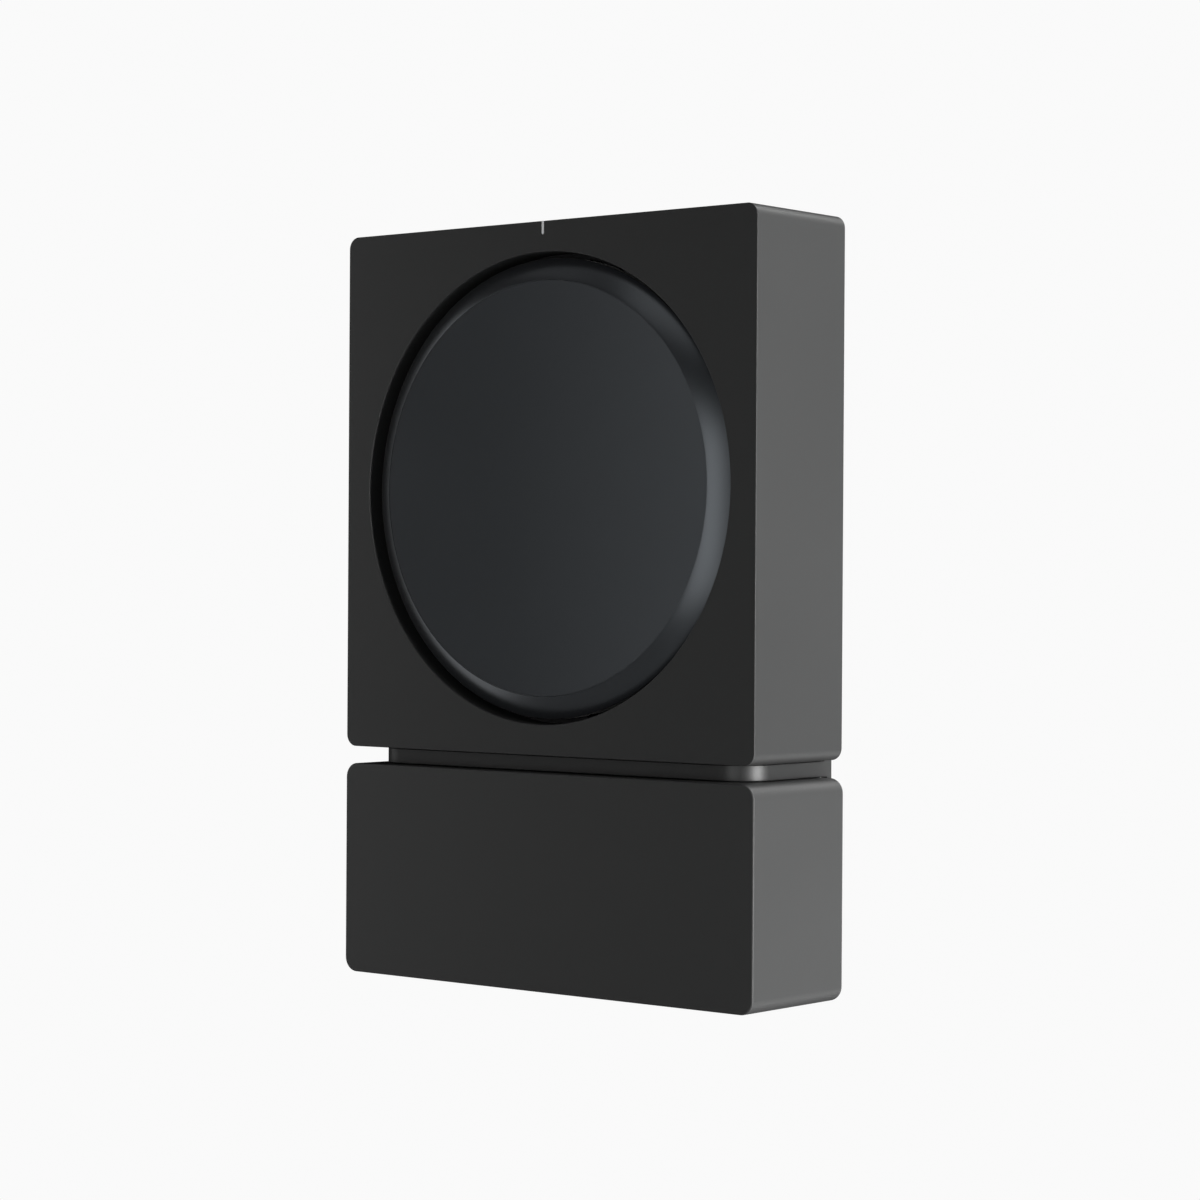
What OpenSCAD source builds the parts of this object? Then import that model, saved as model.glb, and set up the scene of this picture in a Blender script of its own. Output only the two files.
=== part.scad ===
// Wall-hung network amplifier node with a cable dock below it.
// The front faces -Y, the wall is the plane Y = 0 and +Z is up.
// The origin is the middle of the four wall screws, on the wall.

/* [Node unit] */
// Side of the square front
unit_side = 217; // [212:1:230]
// Depth of the side walls
unit_depth = 58.5; // [58:0.5:66]
// Radius of the four corners, seen from the front
unit_corner_r = 5; // [4:0.5:8]
// Wall thickness of the housing
wall_t = 3; // [2.5:0.1:3.5]
// Space between the housing's back edge and the wall
stand_off = 5.5; // [5.5:0.1:8]

/* [Puck in the face] */
// Radius of the round well in the face
well_r = 96; // [90:0.5:98]
// Depth of the well
well_depth = 14; // [13:0.5:16]
// Radius of the flat cap in the middle
cap_r = 84.5; // [78:0.5:86]
// Width of the air gap between the puck and the well
air_gap = 2; // [1.5:0.1:4]
// How far the puck's shoulder falls back at its outer edge
shoulder_drop = 5.5; // [4:0.5:7]

/* [Light pipe] */
// Width of the light pipe
light_w = 1.2; // [1:0.1:2]
// Its length down the face
light_len = 5.5; // [4:0.5:8]

/* [Neck] */
// Height of the gap between the node unit and the dock
neck_h = 7.2; // [6:0.1:12]
// How far the neck stands back from the sides
neck_side_inset = 9; // [7:0.5:12]
// How far the neck stands back from the face
neck_front_inset = 7.4; // [5:0.2:12]
// Radius of the neck's two front corners
neck_corner_r = 15; // [8:1:20]

/* [Dock] */
// Height of the dock cover
dock_h = 89; // [85:1:110]
// Space between the cover's back edge and the wall
dock_stand_off = 3.3; // [3.1:0.1:7]
// Radius of its corners, seen from the front
dock_corner_r = 6; // [4:0.5:8]
// How far the cover stands proud of the node unit's face
dock_proud = 0.3; // [0:0.1:1]

/* [Wall plate] */
// Width of the wall plate
plate_w = 188; // [184:1:190]
// Height of the wall plate
plate_h = 292; // [285:1:296]
// Thickness of the wall plate
plate_t = 2.5; // [2:0.1:2.8]
// Distance between wall screws, side to side
screw_dx = 150; // [140:1:156]
// Distance between wall screws, top to bottom
screw_dz = 240; // [236:1:250]
// Radius of the wall screw holes
screw_hole_r = 2.75; // [2:0.05:3.5]

/* [Fits] */
// Clearance between pieces that move past each other
move_gap = 0.3; // [0.2:0.05:0.5]
// Clearance between pieces that stay together
seat_gap = 0.1; // [0.05:0.05:0.3]
// How far the node unit lifts to come off its studs
lift = 13; // [12:0.5:15]

/* [Hidden] */

$fn = 64;
round_fn = 180;
cut = 1;                // how far a cutter runs past the face it opens

// Heights, measured from the middle of the whole object
total_h = unit_side + neck_h + dock_h;
unit_z = total_h / 2 - unit_side / 2;
unit_bottom = total_h / 2 - unit_side;
dock_top = unit_bottom - neck_h;
dock_z = dock_top - dock_h / 2;
inside_top = total_h / 2 - wall_t;

// Depths
back_y = -stand_off;
face_y = back_y - unit_depth;
front_inside_y = face_y + wall_t;
dock_front_y = face_y - dock_proud;
dock_back_y = -dock_stand_off;
plate_y = -plate_t;

// Node unit, inside
inside = unit_side - 2 * wall_t;
inside_r = 2;
well_wall = 2.5;
boss_at = unit_side / 2 - 8;
boss_r = 5;
boss_bore_r = 1.6;
boss_bore_len = 16;
base_t = 2.5;
base_y = back_y - base_t;        // front face of the base plate
stud_x = 70;
stud_dz = 60;
stud_r = 4;
stud_head_r = 7;
stud_head_t = 2.5;
stud_slack = 0.4;                // play behind each stud's head
key_r = stud_r + move_gap;
key_entry_r = stud_head_r + 0.5;

// Puck
puck_r = well_r - air_gap;
cap_t = 2;
cap_rib = 2;                     // height of the rib behind the cap
cap_seam = 0.25;
skin_t = 2;
skirt_end = shoulder_drop + 4;
web_r = 60;
post_ring = 72;
post_r = 3.5;
post_bore_r = 1.55;
baffle_t = 2;
baffle_r = 62;
baffle_y = face_y + well_depth;
slots = 36;
slot_r0 = 82;                    // the air slots run from here
slot_r1 = 94;                    // to here
slot_w = 6;

// Connector bay in the bottom wall
bay_w = 184;
bay_y0 = -46.5;
bay_y1 = -12;
bay_depth = 14;
bay_wall = 2;
panel_z = unit_bottom + bay_depth;          // lower face of the panel
panel_top = panel_z + bay_wall;
flange_t = 1.5;

// Boards
board_t = 1.6;
standoff_h = 6;
board_back = base_y - standoff_h;
board_y = board_back - board_t;             // component side of the boards
board_bottom = panel_top + 0.5;
main_x0 = -100;
main_x1 = 59;
main_z1 = unit_z + 10;
power_x0 = 61;
power_x1 = 101;
power_z1 = unit_z + 80;
main_holes = [[-95, board_bottom + 8], [-95, main_z1 - 6], [48, board_bottom + 30], [48, main_z1 - 6]];
power_holes = [for (x = [65, 97], z = [board_bottom + 42, power_z1 - 5]) [x, z]];
hole_r = 1.6;

// Heatsink
sink_side = 84;
sink_y0 = face_y + 7;
sink_base_t = 5;
sink_y1 = face_y + 33;
sink_fins = 13;
sink_fin_t = 2;
sink_post_at = 36;
sink_post_r = 3.5;
sink_low = unit_z - sink_post_at;            // height of the two lower posts

// Connectors: their places along the panel, half widths and heights off the board
terminal_x = [-78, -54];
terminal_half = 11;
terminal_high = 15;
plug_pitch = 11;
rca_x = [-26, -13, 0];
rca_half = 6;
rca_high = 14;
rca_barrel_r = 4.15;
rca_barrel_len = 8;
row_y = board_y - 8;                        // axis of the phono and speaker sockets
hdmi_x = 15;
hdmi_half = 7.8;
hdmi_high = 6.8;
ethernet_x = [33, 50];
ethernet_half = 8;
ethernet_high = 14;
inlet_x = 75;
inlet_half = 14;
inlet_high = 19;
inlet_y = board_y - 10;
pin_x = 4.3;
pin_r = 1.6;
button_x = -38;
button_y = -20;
button_r = 3;
window_gap = 0.2;                           // room round a connector in the panel

// Neck collar
neck_half = unit_side / 2 - neck_side_inset;
collar_top = unit_bottom - move_gap - 0.3;
collar_t = 3;
collar_screw_x = 88;
tab_in = 83.3;                              // inner end of each screw tab
leg_gap = 0.4;                              // space in front of the legs
leg_reach = 8;

// Dock, inside
tray_t = 2.5;
tray_y = plate_y - tray_t;
tray_w = 190;
tray_z0 = dock_z - dock_h / 2 + 7;
tray_z1 = dock_top - 8;
hole_w = 84;
hole_h = 44;
hole_z = dock_z + 5;
catch_x = 89;
catch_dz = 27;
ball_r = 3;
ball_y = tray_y - 9;
notch_w = 172;
notch_y = -50;

// Colours
black_shell = "#2c2d2d";
black_part = "#1b1c1d";
steel = "#9a9da0";
alloy = "#b4b6b8";
rubber = "#17181a";
board_green = "#1f4a33";
gold = "#c9a24b";

// A rectangle with round corners, centred on x, z.
module round_rect(w, h, r, x = 0, z = 0) {
    translate([x, z])
        union() {
            square([w - 2 * r, h], center = true);
            square([w, h - 2 * r], center = true);
            for (sx = [-1, 1], sz = [-1, 1])
                translate([sx * (w / 2 - r), sz * (h / 2 - r)])
                    circle(r);
        }
}

// Turns a front view outline (X, Z) into a slab between two depths.
module slab(y0, y1) {
    translate([0, y1, 0])
        rotate([90, 0, 0])
            linear_extrude(y1 - y0)
                children();
}

// A box given by its lowest and highest corners.
module span(low, high) {
    translate(low)
        cube(high - low);
}

// A rod along Y.
module rod_y(r, y0, y1, x, z, fn = 48) {
    translate([x, y1, z])
        rotate([90, 0, 0])
            cylinder(r = r, h = y1 - y0, $fn = fn);
}

// A rod along Z.
module rod_z(r, z0, z1, x, y, fn = 48) {
    translate([x, y, z0])
        cylinder(r = r, h = z1 - z0, $fn = fn);
}

// Turns an outline (radius, depth behind the face) about the puck's axis.
module turned() {
    translate([0, face_y, unit_z])
        rotate([-90, 0, 0])
            rotate_extrude($fn = round_fn)
                children();
}

// The four places at +-x, +-z about a height.
module four(x, z, about) {
    for (sx = [-1, 1], sz = [-1, 1])
        translate([sx * x, 0, about + sz * z])
            children();
}

// A pan head screw whose head stands on y_head and whose shank runs to y_end.
module screw_y(x, z, y_head, head_r, head_t, shank_r, y_end) {
    rod_y(head_r, y_head - head_t, y_head, x, z);
    rod_y(shank_r, y_head, y_end, x, z);
}

// ---------------------------------------------------------------- wall side

module wall_plate() {
    color(steel)
        difference() {
            slab(plate_y, 0)
                difference() {
                    round_rect(plate_w, plate_h, 8);
                    translate([0, unit_z])
                        circle(r = 50, $fn = round_fn);
                    round_rect(hole_w, hole_h, 10, 0, hole_z);
                }
            four(screw_dx / 2, screw_dz / 2, 0)
                rod_y(screw_hole_r, plate_y - cut, cut, 0, 0);
            tray_screw_places()
                rod_y(1.7, plate_y - cut, cut, 0, 0);
            collar_screw_places()
                rod_y(1.3, plate_y - cut, cut, 0, 0);
        }
}

// Shouldered studs riveted to the plate. The node unit's keyholes hang on them.
module hang_studs() {
    neck_end = base_y - stud_slack;
    color(steel)
        four(stud_x, stud_dz, unit_z) {
            rod_y(stud_r, neck_end, plate_y, 0, 0);
            rod_y(stud_head_r, neck_end - stud_head_t, neck_end, 0, 0);
        }
}

module tray_screw_places() {
    four(52, 31, dock_z)
        children();
}

module collar_screw_places() {
    for (sx = [-1, 1])
        translate([sx * collar_screw_x, 0, dock_top + neck_h / 2])
            children();
}

// Moulded tray in the dock: a back, a shelf that carries spare cable and two ribs.
module cable_tray() {
    shelf_y = -46;
    color(black_part)
        difference() {
            union() {
                slab(tray_y, plate_y)
                    round_rect(tray_w, tray_z1 - tray_z0, 5, 0, (tray_z0 + tray_z1) / 2);
                span([-72, shelf_y, tray_z0], [72, tray_y, tray_z0 + 2.5]);
                span([-72, shelf_y, tray_z0], [72, shelf_y + 2.5, tray_z0 + 9]);
            }
            slab(tray_y - cut, plate_y + cut)
                round_rect(hole_w, hole_h, 10, 0, hole_z);
            for (sx = [-1, 1])
                rod_y(6, tray_y - cut, plate_y + cut, sx * screw_dx / 2, -screw_dz / 2);
            tray_screw_places()
                rod_y(2.2, tray_y - cut, plate_y + cut, 0, 0);
        }
}

// Mushroom posts that spare cable is wound on.
module cable_posts() {
    color(black_part)
        for (sx = [-1, 1], z = [dock_z + 20, dock_z - 18]) {
            rod_y(4, tray_y - 22, tray_y, sx * 66, z);
            rod_y(8, tray_y - 25, tray_y - 22, sx * 66, z);
        }
}

module tray_screws() {
    color(steel)
        tray_screw_places()
            screw_y(0, 0, tray_y, 3.6, 2, 1.6, 0);
}

// Rubber edging of the hole that in-wall cables come out of.
module wall_grommet() {
    lip = 1.6;
    color(rubber)
        difference() {
            union() {
                slab(tray_y, 0)
                    round_rect(hole_w - 2 * seat_gap, hole_h - 2 * seat_gap, 10 - seat_gap, 0, hole_z);
                slab(tray_y - lip, tray_y)
                    round_rect(hole_w + 7, hole_h + 7, 13, 0, hole_z);
            }
            slab(tray_y - lip - cut, cut)
                round_rect(hole_w - 6, hole_h - 6, 7, 0, hole_z);
        }
}

// Ball studs that the dock cover snaps on.
module ball_studs() {
    color(steel)
        four(catch_x, catch_dz, dock_z) {
            rod_y(2, ball_y, tray_y, 0, 0);
            rod_y(4, tray_y - 1.5, tray_y, 0, 0);
            translate([0, ball_y, 0])
                sphere(ball_r);
        }
}

// Outline of the neck in plan: round at the front, square at the wall.
module neck_outline(grow = 0) {
    half = neck_half + grow;
    front = face_y + neck_front_inset - grow;
    r = neck_corner_r + grow;
    translate([-half, front + r])
        square([2 * half, -front - r]);
    translate([-half + r, front])
        square([2 * half - 2 * r, r + cut]);
    for (sx = [-1, 1])
        translate([sx * (half - r), front + r])
            circle(r, $fn = 96);
}

// Hollow collar between the node unit and the dock. The cables come down through it.
// Its two legs run on behind the cover and the node unit, so no light shows past them.
module neck_collar() {
    half = neck_half;
    wall = collar_t;
    z0 = dock_top + move_gap;
    color(black_shell)
        difference() {
            union() {
                difference() {
                    translate([0, 0, z0])
                        linear_extrude(collar_top - z0)
                            neck_outline();
                    translate([0, 0, z0 - cut])
                        linear_extrude(collar_top - z0 + 2 * cut)
                            neck_outline(-wall);
                    span([-half + wall, -wall, z0 - cut], [half - wall, cut, collar_top + cut]);
                }
                for (side = [0, 1])
                    mirror([side, 0, 0]) {
                        span(
                            [tab_in, plate_y - collar_t, z0],
                            [half - wall + 0.2, plate_y, collar_top]
                        );
                        span(
                            [half - wall, dock_back_y + leg_gap, dock_top - leg_reach],
                            [half, 0, z0 + cut]
                        );
                        span(
                            [half - wall, back_y + leg_gap, collar_top - cut],
                            [half, 0, unit_bottom + leg_reach]
                        );
                    }
            }
            collar_screw_places()
                rod_y(1.7, plate_y - collar_t - cut, plate_y + cut, 0, 0);
        }
}

// Thin foam seal on the collar, just clear of the node unit.
module neck_seal() {
    h = unit_bottom - 0.2 - collar_top;
    color(rubber)
        difference() {
            translate([0, 0, collar_top])
                linear_extrude(h)
                    neck_outline(-0.8);
            translate([0, 0, collar_top - cut])
                linear_extrude(h + 2 * cut)
                    neck_outline(-2.6);
            span([-neck_half, -8, collar_top - cut], [neck_half, cut, unit_bottom]);
        }
}

module collar_screws() {
    color(steel)
        collar_screw_places()
            screw_y(0, 0, plate_y - collar_t, 2.6, 1.6, 1.2, 0);
}

// --------------------------------------------------------------- dock cover

// Box open at the back. Its top has a notch for the cables and its floor a cable exit.
module dock_cover() {
    inner_h = dock_h - 2 * wall_t;
    inner_w = unit_side - 2 * wall_t;
    floor_z = dock_top - dock_h;
    color(black_shell)
        difference() {
            union() {
                difference() {
                    slab(dock_front_y, dock_back_y)
                        round_rect(unit_side, dock_h, dock_corner_r, 0, dock_z);
                    slab(dock_front_y + wall_t, dock_back_y + cut)
                        round_rect(inner_w, inner_h, dock_corner_r - wall_t, 0, dock_z);
                }
                four(catch_x, catch_dz, dock_z)
                    rod_y(6, dock_front_y + wall_t - cut, ball_y - 6, 0, 0);
            }
            span(
                [-notch_w / 2, notch_y, dock_top - wall_t - cut],
                [notch_w / 2, dock_back_y + cut, dock_top + cut]
            );
            span([-31, -40, floor_z - cut], [31, -18, floor_z + wall_t + cut]);
            four(catch_x, catch_dz, dock_z)
                rod_y(3.6, ball_y - 10, ball_y - 6 + cut, 0, 0);
        }
}

// Spring sockets at the ends of the cover's posts.
module catch_sockets() {
    bore = ball_r + move_gap;
    color(gold)
        four(catch_x, catch_dz, dock_z)
            difference() {
                union() {
                    rod_y(3.5, ball_y - 10, ball_y - 6, 0, 0);
                    rod_y(5, ball_y - 6, ball_y + 3, 0, 0);
                }
                rod_y(bore, ball_y - 5, ball_y + 3 + cut, 0, 0);
            }
}

// Rubber insert in the floor of the cover, slit so that a cable can pass.
module exit_grommet() {
    floor_z = dock_top - dock_h;
    color(rubber)
        difference() {
            union() {
                span([-30.9, -39.9, floor_z + 0.3], [30.9, -18.1, floor_z + wall_t]);
                span([-33, -42, floor_z + wall_t], [33, -16, floor_z + wall_t + 1.6]);
            }
            for (i = [-4:4])
                span([i * 6 - 0.5, -36, floor_z - cut], [i * 6 + 0.5, -22, floor_z + wall_t + 3]);
        }
}

// ------------------------------------------------------ node unit, outside

// Front and four sides in one moulding, with the round well and the screw bosses.
module housing() {
    color(black_shell)
        difference() {
            union() {
                difference() {
                    slab(face_y, back_y)
                        round_rect(unit_side, unit_side, unit_corner_r, 0, unit_z);
                    slab(front_inside_y, back_y + cut)
                        round_rect(inside, inside, inside_r, 0, unit_z);
                }
                rod_y(well_r + well_wall, front_inside_y - cut, baffle_y, 0, unit_z, round_fn);
                four(boss_at, boss_at, unit_z)
                    rod_y(boss_r, front_inside_y - cut, base_y, 0, 0);
            }
            rod_y(well_r, face_y - cut, baffle_y + cut, 0, unit_z, round_fn);
            four(boss_at, boss_at, unit_z)
                rod_y(boss_bore_r, base_y - boss_bore_len, base_y + cut, 0, 0);
            span(
                [-bay_w / 2, bay_y0, unit_bottom - cut],
                [bay_w / 2, bay_y1, unit_bottom + wall_t + cut]
            );
            light_slot(light_w / 2 + 0.05);
        }
}

// Slot for the light pipe: down the face, over the edge and along the top.
module light_slot(half) {
    top = total_h / 2;
    slab(face_y - cut, front_inside_y + cut) {
        translate([-half, top - light_len + half])
            square([2 * half, light_len - half + cut]);
        translate([0, top - light_len + half])
            circle(half, $fn = 32);
    }
    span([-half, face_y - cut, inside_top - cut], [half, face_y + light_len, top + cut]);
}

// Flat round cap, flush with the face.
module puck_cap() {
    color(black_shell)
        turned()
            union() {
                square([cap_r, cap_t]);
                translate([web_r - 4, 0])
                    square([4 - 2 * seat_gap, cap_t + cap_rib]);
            }
}

// Sloping ring round the cap with a skirt behind it.
module puck_shoulder() {
    in_r = cap_r + cap_seam;
    slope = shoulder_drop / (puck_r - cap_r);
    web_d = cap_t + cap_rib;
    turn_d = shoulder_drop + 1.1;
    color(black_shell)
        turned()
            polygon([
                [in_r, (in_r - cap_r) * slope],
                [puck_r, shoulder_drop],
                [puck_r, skirt_end],
                [puck_r - skin_t, skirt_end],
                [puck_r - skin_t, turn_d],
                [puck_r - skin_t - (turn_d - web_d) / slope, web_d],
                [web_r, web_d],
                [web_r, cap_t],
                [in_r, cap_t]
            ]);
}

module puck_post_places() {
    for (i = [0:5])
        rotate([0, 30 + 60 * i, 0])
            translate([post_ring, 0, 0])
                children();
}

// Spacers that hold the puck off the baffle.
module puck_posts() {
    color(alloy)
        translate([0, 0, unit_z])
            puck_post_places()
                difference() {
                    rod_y(post_r, face_y + cap_t + cap_rib, baffle_y, 0, 0);
                    rod_y(post_bore_r, baffle_y - 7, baffle_y + cut, 0, 0);
                }
}

module puck_screws() {
    color(steel)
        translate([0, 0, unit_z])
            puck_post_places() {
                rod_y(1.45, baffle_y - 6, baffle_y + baffle_t, 0, 0);
                rod_y(2.8, baffle_y + baffle_t, baffle_y + baffle_t + 2, 0, 0);
            }
}

// Ring behind the well with air slots round its edge.
module vent_baffle() {
    color(black_part)
        translate([0, 0, unit_z])
            difference() {
                rod_y(well_r + well_wall, baffle_y, baffle_y + baffle_t, 0, 0, round_fn);
                rod_y(baffle_r, baffle_y - cut, baffle_y + baffle_t + cut, 0, 0, round_fn);
                for (i = [0:slots - 1])
                    rotate([0, i * 360 / slots, 0])
                        span(
                            [slot_r0, baffle_y - cut, -slot_w / 2],
                            [slot_r1, baffle_y + baffle_t + cut, slot_w / 2]
                        );
                puck_post_places()
                    rod_y(1.8, baffle_y - cut, baffle_y + baffle_t + cut, 0, 0);
            }
}

// Clear pipe that shows the status light on the face and over the top edge.
module light_pipe() {
    top = total_h / 2;
    half = light_w / 2;
    color("#d9dcdd") {
        slab(face_y, front_inside_y) {
            translate([-half, top - light_len + half])
                square([2 * half, light_len - half]);
            translate([0, top - light_len + half])
                circle(half, $fn = 32);
        }
        span([-half, face_y, inside_top], [half, face_y + light_len, top]);
    }
}

module status_led() {
    color("#f2f2e8")
        span(
            [-0.8, face_y + light_len + 0.3, inside_top - 1.9],
            [0.8, face_y + light_len + 1.1, inside_top - 0.3]
        );
}

// Touch sensor board under the top wall.
module touch_board() {
    y0 = face_y + light_len + 1.1;
    color(board_green) {
        span([-45, y0, inside_top - 1.9], [45, y0 + 30, inside_top - 0.3]);
        span([-8, y0 + 20, inside_top - 4.4], [8, y0 + 26, inside_top - 1.9]);
    }
}

// Back cover with keyholes, air slots and screw holes.
module base_plate() {
    side = inside - 2 * seat_gap;
    color(black_part)
        difference() {
            slab(base_y, back_y)
                round_rect(side, side, inside_r, 0, unit_z);
            four(stud_x, stud_dz, unit_z) {
                rod_y(key_r, base_y - cut, back_y + cut, 0, 0);
                span([-key_r, base_y - cut, -lift], [key_r, back_y + cut, 0]);
                rod_y(key_entry_r, base_y - cut, back_y + cut, 0, -lift);
            }
            four(boss_at, boss_at, unit_z) {
                rod_y(1.9, base_y - cut, back_y + cut, 0, 0);
                rod_y(3.7, back_y - 1.3, back_y + cut, 0, 0);
            }
            for (i = [-4:4])
                span([i * 9 - 2, base_y - cut, unit_z + 84], [i * 9 + 2, back_y + cut, unit_z + 98]);
        }
}

module base_screws() {
    color(steel)
        four(boss_at, boss_at, unit_z) {
            rod_y(3.4, back_y - 1.3, back_y - 0.1, 0, 0);
            rod_y(1.5, base_y - 12, back_y - 1.3, 0, 0);
        }
}

// Rubber ring that the unit stands on when it lies on a shelf.
module foot_ring() {
    color(rubber)
        translate([0, 0, unit_z])
            difference() {
                rod_y(74, back_y, plate_y - 0.2, 0, 0, round_fn);
                rod_y(66, back_y - cut, plate_y + cut, 0, 0, round_fn);
            }
}

// -------------------------------------------------- node unit, connectors

// Panel screws stand in the flange of the connector panel.
module panel_screw_places() {
    for (sx = [-1, 1], y = [bay_y0 - 3.5, bay_y1 + 1.9])
        translate([sx * 60, y, unit_bottom + wall_t])
            children();
}

// Window in the panel for a connector that stands on the board.
module window(x, half, high) {
    span(
        [x - half - window_gap, board_y - high - window_gap, panel_z - cut],
        [x + half + window_gap, board_y + window_gap, panel_top + cut]
    );
}

// Tray let into the bottom wall. The connectors look out of its floor.
module connector_panel() {
    w = bay_w / 2 - seat_gap;
    y0 = bay_y0 + seat_gap;
    y1 = bay_y1 - seat_gap;
    seat = unit_bottom + wall_t;
    color(black_part)
        difference() {
            union() {
                span([-w, y0, unit_bottom + 0.2], [w, y1, panel_top]);
                span([-w - 4, y0 - 5, seat], [w + 4, y1 + 3.4, seat + flange_t]);
            }
            span(
                [-w + bay_wall, y0 + bay_wall, unit_bottom - cut],
                [w - bay_wall, y1 - bay_wall, panel_z]
            );
            for (x = terminal_x)
                window(x, terminal_half, terminal_high);
            for (x = rca_x)
                rod_z(rca_barrel_r + window_gap, panel_z - cut, panel_top + cut, x, row_y);
            window(hdmi_x, hdmi_half, hdmi_high);
            for (x = ethernet_x)
                window(x, ethernet_half, ethernet_high);
            window(inlet_x, inlet_half, inlet_high);
            rod_z(button_r + move_gap, panel_z - cut, panel_top + cut, button_x, button_y);
        }
}

module panel_screws() {
    color(steel)
        panel_screw_places()
            rod_z(1.7, flange_t, flange_t + 1.4, 0, 0);
}

// Two network sockets, open downwards.
module ethernet_jacks() {
    color(steel)
        for (x = ethernet_x)
            difference() {
                span(
                    [x - ethernet_half, board_y - ethernet_high, panel_z - 0.4],
                    [x + ethernet_half, board_y, panel_z + 17]
                );
                span([x - 6, board_y - 12, panel_z - cut], [x + 6, board_y - 4, panel_z + 13]);
                span([x - 3, board_y - 4.5, panel_z - cut], [x + 3, board_y - 2, panel_z + 13]);
            }
}

module hdmi_jack() {
    color(steel)
        difference() {
            span(
                [hdmi_x - hdmi_half, board_y - hdmi_high, panel_z - 0.4],
                [hdmi_x + hdmi_half, board_y, panel_z + 12]
            );
            span([hdmi_x - 7, board_y - 6, panel_z - cut], [hdmi_x + 7, board_y - 3.9, panel_z + 9]);
            span([hdmi_x - 7, board_y - 2.7, panel_z - cut], [hdmi_x + 7, board_y - 1.2, panel_z + 9]);
        }
}

// Three phono sockets: a block on the board and a barrel through the panel.
module rca_jacks() {
    color(gold)
        for (x = rca_x)
            difference() {
                union() {
                    span(
                        [x - rca_half, board_y - rca_high, panel_top + seat_gap],
                        [x + rca_half, board_y, panel_top + 12]
                    );
                    rod_z(rca_barrel_r, panel_z - rca_barrel_len, panel_top + seat_gap, x, row_y);
                }
                rod_z(1.6, panel_z - rca_barrel_len - cut, panel_top + 6, x, row_y);
            }
}

// Two speaker terminal blocks, each with a pair of plug sockets.
module speaker_terminals() {
    color(black_part)
        for (x = terminal_x)
            difference() {
                span(
                    [x - terminal_half, board_y - terminal_high, panel_z - 5],
                    [x + terminal_half, board_y, panel_z + 16]
                );
                for (sx = [-1, 1])
                    rod_z(2.05, panel_z - 5 - cut, panel_z + 12, x + sx * plug_pitch / 2, row_y);
            }
}

// Mains inlet: a block with a socket that a loose lead plugs into.
module mains_inlet() {
    color(black_part)
        difference() {
            span(
                [inlet_x - inlet_half, board_y - inlet_high, panel_z],
                [inlet_x + inlet_half, board_y, panel_z + 24]
            );
            translate([inlet_x, inlet_y, panel_z - cut])
                linear_extrude(16 + cut)
                    round_rect(21, 11, 5);
            for (sx = [-1, 1])
                rod_z(pin_r + 0.05, panel_z + 10, panel_z + 21, inlet_x + sx * pin_x, inlet_y);
        }
}

module inlet_pins() {
    color(alloy)
        for (sx = [-1, 1])
            rod_z(pin_r, panel_z + 4, panel_z + 20.9, inlet_x + sx * pin_x, inlet_y);
}

// Set-up button. Its collar rests on the panel from inside.
module join_button() {
    color("#3a3b3c") {
        rod_z(button_r, panel_z - 0.8, panel_top + 3.4, button_x, button_y);
        rod_z(button_r + 1.2, panel_top + 0.1, panel_top + 1.1, button_x, button_y);
    }
}

module join_switch() {
    color(black_part) {
        span([button_x - 3, board_y - 6.5, panel_top + 6], [button_x + 3, board_y, panel_top + 10]);
        rod_z(1.4, panel_top + 4.8, panel_top + 6, button_x, button_y);
    }
}

// ------------------------------------------------------ node unit, inside

module main_board() {
    color(board_green)
        difference() {
            span([main_x0, board_y, board_bottom], [main_x1, board_back, main_z1]);
            for (p = main_holes)
                rod_y(hole_r, board_y - cut, board_back + cut, p[0], p[1]);
            for (sx = [-1, 1])
                rod_y(sink_post_r + 1, board_y - cut, board_back + cut, sx * sink_post_at, sink_low);
        }
}

module power_board() {
    color(board_green)
        difference() {
            span([power_x0, board_y, board_bottom], [power_x1, board_back, power_z1]);
            for (p = power_holes)
                rod_y(hole_r, board_y - cut, board_back + cut, p[0], p[1]);
        }
}

module board_standoffs() {
    color(gold)
        for (p = concat(main_holes, power_holes))
            difference() {
                rod_y(3, board_back, base_y, p[0], p[1]);
                rod_y(1.35, board_back - cut, base_y - 1, p[0], p[1]);
            }
}

module board_screws() {
    color(steel)
        for (p = concat(main_holes, power_holes))
            screw_y(p[0], p[1], board_y, 2.6, 1.6, 1.25, base_y - 1.6);
}

// Metal can over the processor.
module shield_can() {
    color(steel)
        span([-96, board_y - 4, unit_z - 52], [-48, board_y, unit_z - 12]);
}

module amp_chips() {
    color(black_part)
        for (x = [-24, 8])
            span([x, board_y - 3, unit_z - 30], [x + 16, board_y, unit_z - 14]);
}

// Block that carries heat from the amplifier chips to the heatsink.
module heat_bridge() {
    color(alloy)
        span([-28, sink_y1, unit_z - 31], [28, board_y - 3, unit_z - 13]);
}

// Finned heatsink behind the puck.
module heatsink() {
    half = sink_side / 2;
    pitch = (sink_side - sink_fin_t) / (sink_fins - 1);
    color(alloy) {
        span([-half, sink_y1 - sink_base_t, unit_z - half], [half, sink_y1, unit_z + half]);
        for (i = [0:sink_fins - 1])
            span(
                [-half + i * pitch, sink_y0, unit_z - half],
                [-half + i * pitch + sink_fin_t, sink_y1 - sink_base_t, unit_z + half]
            );
    }
}

module heatsink_posts() {
    color(gold)
        four(sink_post_at, sink_post_at, unit_z)
            rod_y(sink_post_r, sink_y1, base_y, 0, 0);
}

// Ferrite core with its winding.
module transformer() {
    color("#3b3226") {
        span([66, board_y - 26, unit_z - 40], [96, board_y, unit_z - 34]);
        span([66, board_y - 26, unit_z - 12], [96, board_y, unit_z - 6]);
        rod_z(10, unit_z - 34, unit_z - 12, 81, board_y - 13);
    }
}

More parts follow.
